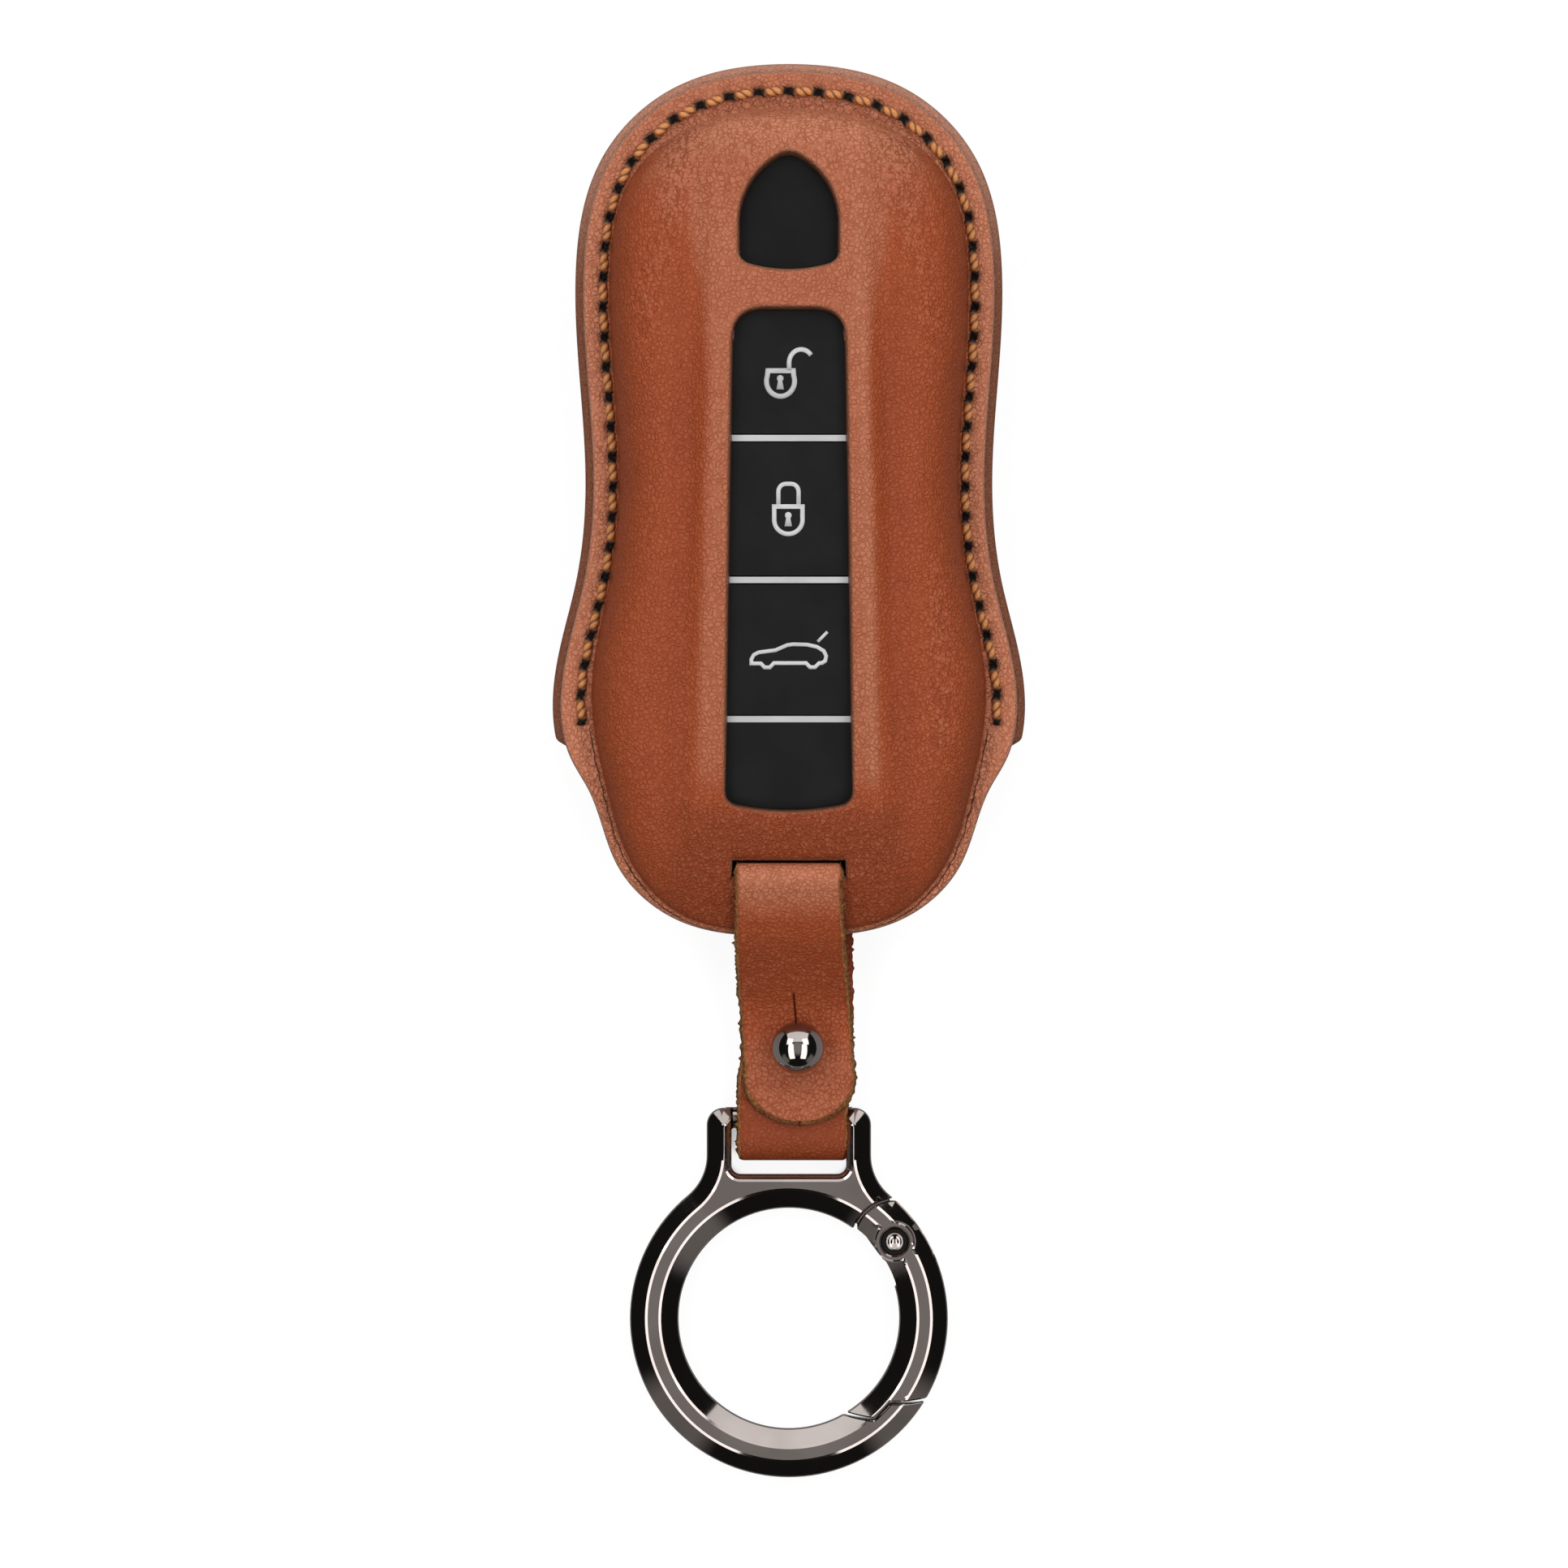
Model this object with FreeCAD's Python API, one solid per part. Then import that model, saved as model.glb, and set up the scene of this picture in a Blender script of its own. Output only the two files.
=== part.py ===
import FreeCAD, Part
import math
import os
from functools import lru_cache
from FreeCAD import Vector

# Key fob cover: two moulded leather panels sewn round a key remote, a buttoned keeper strap and a
# spring-gate ring. Millimetres. It lies on its back: X is right, Y runs to the rounded head, Z is up.
# The origin is on the table, under the middle of the flat back.

# Leather panels
LEATHER = 1.6
SEAM_LEVEL = 8.0
SHOULDER_WIDTH = 44.4
WAIST_WIDTH = 38.4
HEAD_WIDTH = 40.4
HEAD_Y = 25.5
WAIST_Y = 1.0
SHOULDER_Y = -21.5
HEAD_END = 43.8
FOOT_END = -49.0
# Points of the outline's corners: inset from the half width, distance from the end, and seam width there
HEAD_CORNER = [(2.6, 7.5, 3.2), (8.8, 2.2, 4.0)]
FOOT_CORNER = [(15.7, 0.25, 0.6), (10.6, 1.6, 0.75), (4.3, 8.0, 1.6), (1.55, 16.5, 2.1), (0.75, 20.0, 3.2)]
# Point on the flank: share of the way from shoulder to waist, share of the width left, and seam width
FLANK_POINT = (0.5, 0.38, 2.9)
SEAM_FOOT = 0.6
SEAM_SHOULDER = 3.5
SEAM_WAIST = 2.9
SEAM_HEAD = 3.0
SEAM_END = 4.3
BACK_EDGE = 0.9
BACK_STEP_Y = -27.6
BACK_STEP_ROUND = 1.4
BACK_TUCK = 0.2

# Front bulge, heights above the seam
FRONT_CROWN = 10.6
FRONT_ARCH = 330.0
FRONT_BEND = 60.0
FRONT_BEND_Y = -28.0
FRONT_ROUND = 6.5
CROWN_Y = 4.0
# Raised middle of the front
PLATEAU_CROWN = 11.8
PLATEAU_ARCH = 220.0
PLATEAU_HEAD_WIDTH = 17.0
PLATEAU_FOOT_WIDTH = 21.6
PLATEAU_HEAD_Y = 39.6
PLATEAU_FOOT_Y = -38.0
PLATEAU_BEVEL = 1.3

# Back bulge: its flat is the table level
BACK_BEND = 20.0
BACK_BEND_Y = -29.5
BACK_ROUND = 4.5

# Windows in the front panel
WINDOW_TOP = 21.6
WINDOW_FOOT = -35.5
WINDOW_TOP_WIDTH = 12.3
WINDOW_MIDDLE_WIDTH = 13.6
WINDOW_FOOT_WIDTH = 14.4
WINDOW_FOOT_SAG = 0.9
WINDOW_TOP_ROUND = 2.6
WINDOW_FOOT_ROUND = 0.8
ARCH_WIDTH = 11.3
ARCH_APEX = 39.3
ARCH_SPRING = 31.9
ARCH_FOOT = 25.6
ARCH_FOOT_SAG = 1.0
ARCH_FOOT_ROUND = 0.9

# Seam stitches
STITCH_INSET = 2.25
STITCH_END_Y = -25.7
STITCH_COUNT = 60
STITCH_LENGTH = 2.5
STITCH_WIDTH = 0.76
STITCH_HEIGHT = 0.42
STITCH_SLANT = 7.0

# Remote
REMOTE_FIT = 0.15
SHELL_WALL = 2.0
STRIP_MARGIN = 0.5
COLLAR_WALL = 1.2
COLLAR_FOOT = 5.6
DIVIDER_YS = [6.5, -9.45, -25.1]
DIVIDER_THICK = 0.7
DIVIDER_PROUD = 0.12
BUTTON_GAP = 0.15
BUTTON_TRAVEL = 0.5
BUTTON_LIP = 0.55
BUTTON_LIP_THICK = 0.75
BUTTON_SEAT = 0.05
BUTTON_YS = [13.85, -1.4, -17.4]
LIP_THICK = 0.8
LIP_HEIGHT = 1.2
LIP_ROOT = 1.5
LIP_FIT = 0.05
EYELET_LENGTH = 3.8
EYELET_SLACK = 0.8
EYELET_WALL = 1.6

# Inside the remote, heights above the seam
BOARD_UNDER = 2.2
BOARD_THICK = 1.0
BOARD_SLACK = 0.3
BOARD_FOOT_Y = -34.0
POST_RADIUS = 1.5
POST_PLACES = [(12.0, 30.0), (14.0, -28.0)]
SWITCH_SIDE = 4.0
SWITCH_HEIGHT = 0.6
KEYPAD_WIDTH = 15.0
KEYPAD_HEAD_Y = 20.5
KEYPAD_FOOT_Y = -24.0
KEYPAD_THICK = 0.5
DOME_RADIUS = 3.4
DOME_WALL = 0.5
CELL_RADIUS = 10.0
CELL_THICK = 3.2
CELL_Y = 15.0
CONTACT_RADIUS = 3.0
CONTACT_THICK = 0.4
CLIP_WIDTH = 4.0
CLIP_THICK = 0.3
CLIP_FIT = 0.1

# Strap
STRAP_WIDTH = 12.2
STRAP_THICK = 1.3
STRAP_LAY = 0.05
STRAP_SLOT_Y = -41.9
STRAP_SLOT_GAP = 0.3
STRAP_SLOT_ROUND = 0.9
STRAP_TIP_Y = -70.6
STRAP_TIP_ROUND = 4.6
STRAP_BEND = 1.5
STRAP_FOLD_Y = -75.05
STRAP_SOFT_BEND = 3.0
TABLE_GAP = 0.3

# Stud
STUD_X = 1.0
STUD_Y = -62.2
BALL_RADIUS = 3.0
NECK_RADIUS = 1.6
COLLAR_RADIUS = 3.2
COLLAR_THICK = 0.7
SHANK_RADIUS = 1.5
STUD_HOLE_FIT = 0.1
STUD_SLIT = 0.3
STUD_SLIT_END_Y = -55.9
SCREW_RADIUS = 1.0
SCREW_FIT = 0.02
SCREW_HEAD_RADIUS = 3.2
SCREW_HEAD_THICK = 0.9
SCREW_SLOT_WIDTH = 0.8
SCREW_SLOT_DEPTH = 0.45

# Spring-gate ring
RING_Y = -92.9
RING_OUTER = 18.0
RING_BORE = 12.5
RING_THICK = 5.6
RING_OUTER_BEVEL = 1.85
RING_BORE_BEVEL = 2.1
RING_BEVEL_SLOPE = 37.0
EYE_WIDTH = 18.6
EYE_TOP = 23.8
EYE_CORNER = 1.9
EYE_NECK_ROUND = 6.0
EYE_OPENING_WIDTH = 13.0
EYE_OPENING_FOOT = 16.3
EYE_OPENING_BEVEL = 0.65
EYE_OPENING_ROUND = 1.0
BAR_RADIUS = 1.2
BAR_CENTRE = 22.7
BAR_FIT = 0.15

# Gate
PIN_ANGLE = 36.0
PIN_CENTRE_RADIUS = 14.8
PIN_RADIUS = 0.75
PIN_FIT = 0.05
PIN_HEAD_RADIUS = 1.05
PIN_HEAD_THICK = 0.3
PIN_SINK_RADIUS = 1.6
PIN_SINK_DEPTH = 0.4
BOSS_RADIUS = 2.25
KNUCKLE_RADIUS = 4.6
GATE_GAP = 0.3
GATE_REACH = 18.1
HOOK_REACH = 20.1
HOOK_STEP = 14.75
GATE_END_ANGLE = -75.0
TONGUE_RADIUS = 2.3
TONGUE_THICK = 1.2
FORK_GAP = 0.1
SPRING_COIL = 1.3
SPRING_WIRE = 0.3
SPRING_PITCH = 0.4
SPRING_TURNS = 2
SPRING_LEG = 3.9
SPRING_STEPS = 12

# Room that a cutting block needs to clear the whole part
REACH = 200.0

UP = Vector(0, 0, 1)
ALONG = Vector(0, 1, 0)
ACROSS = Vector(1, 0, 0)
ORIGIN = Vector(0, 0, 0)


def block(x0, x1, y0, y1, z0, z1):
    """Box between two corners."""
    return Part.makeBox(x1 - x0, y1 - y0, z1 - z0, Vector(x0, y0, z0))


def disc(radius, z0, z1, x=0.0, y=0.0):
    """Upright cylinder from height z0 to z1."""
    return Part.makeCylinder(radius, z1 - z0, Vector(x, y, z0))


def upright_edges(shape):
    """Straight edges that run along Z."""
    found = []
    for edge in shape.Edges:
        box = edge.BoundBox
        if box.ZLength > 1e-3 and box.XLength < 1e-4 and box.YLength < 1e-4:
            found.append(edge)
    return found


def prism(wire, z0, z1):
    """Solid from a flat outline, between two heights."""
    face = Part.Face(wire)
    solid = face.extrude(Vector(0, 0, z1 - z0))
    solid.translate(Vector(0, 0, z0 - wire.BoundBox.ZMin))
    return solid


def revolve(points):
    """Solid of revolution about Z from its half profile in the XZ plane."""
    corners = [Vector(x, 0, z) for x, z in points]
    face = Part.Face(Part.makePolygon(corners + corners[:1]))
    return face.revolve(ORIGIN, UP, 360)


# Cover outline


def bulge_stations():
    """Half outline from the foot to the head: half width, Y and seam width at each point."""
    shoulder = SHOULDER_WIDTH / 2
    waist = WAIST_WIDTH / 2
    head = HEAD_WIDTH / 2
    flank_share, flank_rise, flank_seam = FLANK_POINT
    flank_y = SHOULDER_Y + flank_share * (WAIST_Y - SHOULDER_Y)
    flank = waist + flank_rise * (shoulder - waist)
    stations = [(0, FOOT_END, SEAM_FOOT)]
    for inset, rise, seam in FOOT_CORNER:
        stations.append((shoulder - inset, FOOT_END + rise, seam))
    stations.append((shoulder, SHOULDER_Y, SEAM_SHOULDER))
    stations.append((flank, flank_y, flank_seam))
    stations.append((waist, WAIST_Y, SEAM_WAIST))
    stations.append((head, HEAD_Y, SEAM_HEAD))
    for inset, drop, seam in HEAD_CORNER:
        stations.append((head - inset, HEAD_END - drop, seam))
    stations.append((0, HEAD_END, SEAM_END))
    return stations


def closed_curve(points):
    """Smooth closed curve through the points."""
    curve = Part.BSplineCurve()
    curve.interpolate(Points=points, PeriodicFlag=True)
    return curve


def cover_curve(grow, with_seam):
    """Closed curve of the bulge, or of the seam flange, moved outwards by grow, and its head parameter."""
    stations = bulge_stations()
    last = len(stations) - 1
    mirrored = [(-x, y, seam) for x, y, seam in reversed(stations[1:last])]
    whole = stations + mirrored
    points = [Vector(x, y, 0) for x, y, seam in whole]
    base = closed_curve(points)
    moved = []
    for point, (x, y, seam) in zip(points, whole):
        run = base.tangent(base.parameter(point))[0]
        out = Vector(run.y, -run.x, 0)
        moved.append(point + out * (grow + (seam if with_seam else 0)))
    moved[0].x = 0
    moved[last].x = 0
    curve = closed_curve(moved)
    return curve, curve.parameter(moved[last])


def cover_wire(grow, with_seam):
    """The same curve as a wire of two edges that meet at the head and the foot."""
    curve, head = cover_curve(grow, with_seam)
    right = Part.Edge(curve, curve.FirstParameter, head)
    left = Part.Edge(curve, head, curve.LastParameter)
    return Part.Wire([right, left])


# Moulded forms: heights are measured from the seam


def on_arc(centre, radius, angle):
    """Point on a circle in the YZ plane."""
    return Vector(0, centre.y + radius * math.cos(angle), centre.z + radius * math.sin(angle))


def top_line(crown, arch, bend, bend_y, depth):
    """Side view under a top line: an arch or a flat, then a tangent bend down to the foot."""
    if arch:
        centre = Vector(0, CROWN_Y, crown - arch)
        head_angle = math.acos((HEAD_END + LEATHER - CROWN_Y) / arch)
        bend_angle = math.acos((bend_y - CROWN_Y) / arch)
        head = on_arc(centre, arch, head_angle)
        joint = on_arc(centre, arch, bend_angle)
        first = Part.Arc(head, on_arc(centre, arch, (head_angle + bend_angle) / 2), joint).toShape()
    else:
        head = Vector(0, HEAD_END + LEATHER, crown)
        joint = Vector(0, bend_y, crown)
        bend_angle = math.pi / 2
        first = Part.LineSegment(head, joint).toShape()
    hub = Vector(0, joint.y - bend * math.cos(bend_angle), joint.z - bend * math.sin(bend_angle))
    end_angle = math.acos(max((FOOT_END - LEATHER - hub.y) / bend, -1.0))
    foot = on_arc(hub, bend, end_angle)
    second = Part.Arc(joint, on_arc(hub, bend, (bend_angle + end_angle) / 2), foot).toShape()
    under = [foot, Vector(0, foot.y, -depth), Vector(0, head.y, -depth), head]
    return Part.Wire([first, second] + Part.makePolygon(under).Edges)


def moulded_block(inset, crown, arch, bend, bend_y):
    """Upright walls on the outline under a top line, reaching below the seam."""
    depth = crown + SEAM_LEVEL
    side = Part.Face(top_line(crown, arch, bend, bend_y, depth)).extrude(ACROSS * REACH)
    side.translate(ACROSS * (-REACH / 2))
    return prism(cover_wire(-inset, False), -depth, depth).common(side)


def above_seam(body):
    """Part of a body above its own zero level."""
    return body.common(block(-REACH, REACH, -REACH, REACH, 0, REACH))


def rounded_form(block_body, edge_round):
    """Block rounded along its upper rim and cut off at the seam."""
    middle = block_body.BoundBox.Center.z
    rim = []
    for edge in block_body.Edges:
        box = edge.BoundBox
        if box.ZMin > middle and box.YLength > 0.01:
            rim.append(edge)
    return above_seam(block_body.makeFillet(edge_round, rim))


def front_block(inset):
    """Front bulge before its rim is rounded."""
    return moulded_block(inset, FRONT_CROWN - inset, FRONT_ARCH - inset, FRONT_BEND - inset, FRONT_BEND_Y)


def back_block(inset):
    """Back bulge before its rim is rounded, turned up."""
    return moulded_block(inset, SEAM_LEVEL - inset, None, BACK_BEND - inset, BACK_BEND_Y)


def plateau(inset):
    """Raised middle of the front: a tapered tongue under its own arch, with bevelled flanks."""
    head = PLATEAU_HEAD_WIDTH / 2 - inset
    foot = PLATEAU_FOOT_WIDTH / 2 - inset
    top = PLATEAU_HEAD_Y - inset / 2
    bottom = PLATEAU_FOOT_Y + inset
    corners = [Vector(-foot, bottom, 0), Vector(foot, bottom, 0), Vector(head, top, 0), Vector(-head, top, 0)]
    tongue = prism(Part.makePolygon(corners + corners[:1]), 0, PLATEAU_CROWN + LEATHER)
    arch = PLATEAU_ARCH - inset
    barrel = Part.makeCylinder(arch, REACH, Vector(-REACH / 2, CROWN_Y, PLATEAU_CROWN - inset - arch), ACROSS)
    body = tongue.common(barrel)
    bevel = PLATEAU_BEVEL - inset * (2 - math.sqrt(2))
    if bevel < DIVIDER_PROUD:
        return body
    rim = [edge for edge in body.Edges if edge.BoundBox.ZMin > 1e-3]
    return body.makeChamfer(bevel, rim)


@lru_cache(maxsize=None)
def front_form(inset):
    """Front bulge, inset by a wall thickness, above the seam level."""
    body = rounded_form(front_block(inset), FRONT_ROUND - inset).fuse(plateau(inset))
    body.translate(UP * SEAM_LEVEL)
    return body


@lru_cache(maxsize=None)
def back_form(inset):
    """Back bulge, inset by a wall thickness, below the seam level."""
    body = rounded_form(back_block(inset), BACK_ROUND - inset).mirror(ORIGIN, UP)
    body.translate(UP * SEAM_LEVEL)
    return body


def front_height(y):
    """Height of the front's rounded top line above the table, at a place near the foot."""
    arch_drop = FRONT_ARCH - math.sqrt(FRONT_ARCH ** 2 - (FRONT_BEND_Y - CROWN_Y) ** 2)
    slope = math.asin((CROWN_Y - FRONT_BEND_Y) / FRONT_ARCH)
    hub_y = FRONT_BEND_Y + FRONT_BEND * math.sin(slope)
    hub_z = FRONT_CROWN - arch_drop - FRONT_BEND * math.cos(slope)
    return SEAM_LEVEL + hub_z + math.sqrt(FRONT_BEND ** 2 - (hub_y - y) ** 2)


# Windows and slots


def strip_prism(grow, z0, z1):
    """Button strip outline: bowed sides, round head corners and a sagging foot edge."""
    top = WINDOW_TOP + grow
    foot = WINDOW_FOOT - grow
    half_top = WINDOW_TOP_WIDTH / 2 + grow
    half_middle = WINDOW_MIDDLE_WIDTH / 2 + grow
    half_foot = WINDOW_FOOT_WIDTH / 2 + grow
    corner_y = foot + WINDOW_FOOT_SAG
    middle_y = (top + foot) / 2
    right = Part.Arc(Vector(half_foot, corner_y, 0), Vector(half_middle, middle_y, 0), Vector(half_top, top, 0))
    head = Part.LineSegment(Vector(half_top, top, 0), Vector(-half_top, top, 0))
    left = Part.Arc(Vector(-half_top, top, 0), Vector(-half_middle, middle_y, 0), Vector(-half_foot, corner_y, 0))
    sag = Part.Arc(Vector(-half_foot, corner_y, 0), Vector(0, foot, 0), Vector(half_foot, corner_y, 0))
    wire = Part.Wire([curve.toShape() for curve in (right, head, left, sag)])
    body = prism(wire, z0, z1)
    heads = [edge for edge in upright_edges(body) if edge.BoundBox.YMin > middle_y]
    body = body.makeFillet(WINDOW_TOP_ROUND + grow, heads)
    feet = [edge for edge in upright_edges(body) if edge.BoundBox.YMax < corner_y + 1e-3]
    return body.makeFillet(WINDOW_FOOT_ROUND + grow, feet)


def arch_prism(z0, z1):
    """Pointed arch window at the head."""
    half = ARCH_WIDTH / 2
    rise = ARCH_APEX - ARCH_SPRING
    radius = (half ** 2 + rise ** 2) / (2 * half)
    hub = half - radius
    tilt = math.atan2(rise, -hub) / 2
    bow = Vector(hub + radius * math.cos(tilt), ARCH_SPRING + radius * math.sin(tilt), 0)
    apex = Vector(0, ARCH_APEX, 0)
    right = Part.Arc(Vector(half, ARCH_SPRING, 0), bow, apex)
    left = Part.Arc(apex, Vector(-bow.x, bow.y, 0), Vector(-half, ARCH_SPRING, 0))
    corner = ARCH_FOOT + ARCH_FOOT_SAG
    left_side = Part.LineSegment(Vector(-half, ARCH_SPRING, 0), Vector(-half, corner, 0))
    sag = Part.Arc(Vector(-half, corner, 0), Vector(0, ARCH_FOOT, 0), Vector(half, corner, 0))
    right_side = Part.LineSegment(Vector(half, corner, 0), Vector(half, ARCH_SPRING, 0))
    wire = Part.Wire([curve.toShape() for curve in (right, left, left_side, sag, right_side)])
    body = prism(wire, z0, z1)
    feet = [edge for edge in upright_edges(body) if edge.BoundBox.YMax < corner + 1e-3]
    return body.makeFillet(ARCH_FOOT_ROUND, feet)


def strap_slot(z0, z1):
    """Slot that lets the strap through a panel."""
    half_x = STRAP_WIDTH / 2 + STRAP_SLOT_GAP
    half_y = STRAP_THICK / 2 + STRAP_SLOT_GAP
    body = block(-half_x, half_x, STRAP_SLOT_Y - half_y, STRAP_SLOT_Y + half_y, z0, z1)
    return body.makeFillet(STRAP_SLOT_ROUND, upright_edges(body))


# Cover pieces


def front_panel():
    """Front leather: flange and bulge in one thickness, with two windows and the strap slot."""
    top = SEAM_LEVEL + PLATEAU_CROWN + LEATHER
    body = prism(cover_wire(0, True), SEAM_LEVEL, SEAM_LEVEL + LEATHER)
    body = body.fuse(front_form(0))
    body = body.cut(front_form(LEATHER))
    body = body.cut(strip_prism(0, SEAM_LEVEL + LEATHER, top))
    body = body.cut(arch_prism(SEAM_LEVEL + LEATHER, top))
    return body.cut(strap_slot(SEAM_LEVEL + LEATHER, top))


def back_panel():
    """Back leather: its edge stands out past the front's down to the end of the stitching."""
    low = SEAM_LEVEL - LEATHER
    wide = prism(cover_wire(BACK_EDGE, True), low, SEAM_LEVEL)
    wide = wide.common(block(-REACH, REACH, BACK_STEP_Y, REACH, 0, REACH))
    corners = [edge for edge in upright_edges(wide) if edge.BoundBox.YMax < BACK_STEP_Y + 1e-3]
    wide = wide.makeFillet(BACK_STEP_ROUND, corners)
    body = prism(cover_wire(-BACK_TUCK, True), low, SEAM_LEVEL).fuse(wide)
    body = body.fuse(back_form(0))
    body = body.cut(back_form(LEATHER))
    return body.cut(strap_slot(-1, SEAM_LEVEL))


def stitch_bar():
    """One stitch lying along X on the leather: pointed in plan and sloping to its ends."""
    half = STITCH_LENGTH / 2
    side = STITCH_WIDTH / 2
    plan = [Vector(-half, 0, 0), Vector(-half / 2, -side, 0), Vector(half / 2, -side, 0),
            Vector(half, 0, 0), Vector(half / 2, side, 0), Vector(-half / 2, side, 0)]
    slope = [Vector(-half, -side, 0), Vector(half, -side, 0),
             Vector(half / 2, -side, STITCH_HEIGHT), Vector(-half / 2, -side, STITCH_HEIGHT)]
    lozenge = prism(Part.makePolygon(plan + plan[:1]), 0, STITCH_HEIGHT)
    return lozenge.common(Part.Face(Part.makePolygon(slope + slope[:1])).extrude(ALONG * STITCH_WIDTH))


def seam_stitches():
    """Thread shown on both faces of the flange, evenly spaced between the two ends of the seam."""
    curve = cover_curve(-STITCH_INSET, True)[0]
    level = Part.LineSegment(Vector(0, STITCH_END_Y, 0), Vector(SHOULDER_WIDTH, STITCH_END_Y, 0))
    crossing = curve.intersect(level)[0]
    start = curve.parameter(Vector(crossing.X, crossing.Y, crossing.Z))
    end = curve.FirstParameter + curve.LastParameter - start
    holes = Part.Edge(curve, start, end).discretize(Number=STITCH_COUNT + 1)
    front = stitch_bar()
    back = front.mirror(ORIGIN, UP)
    stitches = []
    for one, two in zip(holes[:-1], holes[1:]):
        middle = (one + two) * 0.5
        turn = math.degrees(math.atan2(two.y - one.y, two.x - one.x))
        for shape, height, slant in ((front, SEAM_LEVEL + LEATHER, STITCH_SLANT),
                                     (back, SEAM_LEVEL - LEATHER, -STITCH_SLANT)):
            stitch = shape.copy()
            stitch.rotate(ORIGIN, UP, turn + slant)
            stitch.translate(middle + UP * height)
            stitches.append(stitch)
    return Part.makeCompound(stitches)


# Remote pieces


POCKET = LEATHER + REMOTE_FIT
CAVITY = POCKET + SHELL_WALL
EYELET_TOP = STRAP_SLOT_Y + EYELET_LENGTH / 2


def eyelet(z0, z1):
    """Slot through the remote's foot, where the strap passes."""
    half = STRAP_WIDTH / 2 + EYELET_SLACK
    body = block(-half, half, STRAP_SLOT_Y - EYELET_LENGTH / 2, EYELET_TOP, z0, z1)
    return body.makeFillet(EYELET_SLACK, upright_edges(body))


def hollow(body):
    """Room inside a half of the case, closed off from the eyelet by a wall."""
    return above_seam(body).common(block(-REACH, REACH, EYELET_TOP + EYELET_WALL, REACH, -REACH, REACH))


def upper_hollow():
    """Room in the upper half of the case."""
    body = hollow(front_block(CAVITY))
    body.translate(UP * SEAM_LEVEL)
    return body


def lower_hollow():
    """Room in the lower half of the case."""
    body = hollow(back_block(CAVITY)).mirror(ORIGIN, UP)
    body.translate(UP * SEAM_LEVEL)
    return body


def remote_upper_shell():
    """Upper half of the remote's case, with the opening and collar of its button strip."""
    top = SEAM_LEVEL + PLATEAU_CROWN
    outer = front_form(POCKET)
    collar = strip_prism(STRIP_MARGIN + COLLAR_WALL, SEAM_LEVEL + COLLAR_FOOT, top).common(outer)
    body = outer.cut(upper_hollow()).fuse(collar)
    body = body.cut(strip_prism(STRIP_MARGIN, SEAM_LEVEL, top))
    return body.cut(eyelet(SEAM_LEVEL - EYELET_WALL, top))


def remote_lower_shell():
    """Lower half of the case, with a locating lip and posts under the circuit board."""
    body = back_form(POCKET).cut(lower_hollow())
    inside = prism(cover_wire(-CAVITY - LIP_THICK, False), 0, REACH)
    root = prism(cover_wire(-CAVITY + LIP_FIT, False), SEAM_LEVEL - LIP_ROOT, SEAM_LEVEL)
    lip = prism(cover_wire(-CAVITY - LIP_FIT, False), SEAM_LEVEL, SEAM_LEVEL + LIP_HEIGHT)
    rim = root.fuse(lip).cut(inside)
    body = body.fuse(rim.common(block(-REACH, REACH, EYELET_TOP + EYELET_WALL, REACH, 0, REACH)))
    for x, y in POST_PLACES:
        for side in (-x, x):
            body = body.fuse(disc(POST_RADIUS, CAVITY - SHELL_WALL / 2, SEAM_LEVEL + BOARD_UNDER, side, y))
    return body.cut(eyelet(0, SEAM_LEVEL + EYELET_WALL))


def strip_band(grow, y0, y1, z0, z1):
    """Part of the button strip between two places along Y."""
    return strip_prism(grow, z0, z1).common(block(-REACH, REACH, y0, y1, z0, z1))


def strip_cap(y0, y1, slack, seat):
    """Cap of the strip: its face follows the remote, and a lip below is held under the collar."""
    collar = SEAM_LEVEL + COLLAR_FOOT
    face = strip_band(STRIP_MARGIN - slack, y0, y1, collar - seat, SEAM_LEVEL + PLATEAU_CROWN)
    face = face.common(front_form(POCKET))
    lip = strip_band(STRIP_MARGIN + BUTTON_LIP, y0, y1, collar - seat - BUTTON_LIP_THICK, collar - seat)
    return face.fuse(lip)


def button_spans():
    """Ends along Y of the three buttons and the blank cap, between the dividers."""
    edges = [WINDOW_TOP + STRIP_MARGIN] + DIVIDER_YS + [WINDOW_FOOT - STRIP_MARGIN]
    spans = []
    for index in range(len(edges) - 1):
        upper = edges[index] - (DIVIDER_THICK / 2 if index else 0)
        lower = edges[index + 1] + (DIVIDER_THICK / 2 if index < len(DIVIDER_YS) else 0)
        spans.append((lower, upper))
    return spans


def button(index):
    """A button that travels down on its rubber dome."""
    lower, upper = button_spans()[index]
    return strip_cap(lower + BUTTON_GAP, upper - BUTTON_GAP, BUTTON_GAP, BUTTON_SEAT)


def strip_end_cap():
    """Blank cap that fills the foot of the strip."""
    lower, upper = button_spans()[len(DIVIDER_YS)]
    cap = strip_cap(lower - BUTTON_LIP, upper, 0, 0)
    opening = strip_prism(STRIP_MARGIN, SEAM_LEVEL, SEAM_LEVEL + PLATEAU_CROWN)
    return cap.common(upper_hollow().fuse(opening))


def divider_bars():
    """Three bright bars across the strip, standing a little proud."""
    half = DIVIDER_THICK / 2
    proud = front_form(POCKET - DIVIDER_PROUD)
    bars = []
    for y in DIVIDER_YS:
        bar = strip_band(STRIP_MARGIN, y - half, y + half, SEAM_LEVEL + COLLAR_FOOT, SEAM_LEVEL + PLATEAU_CROWN)
        bars.append(bar.common(proud))
    return Part.makeCompound(bars)


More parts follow.
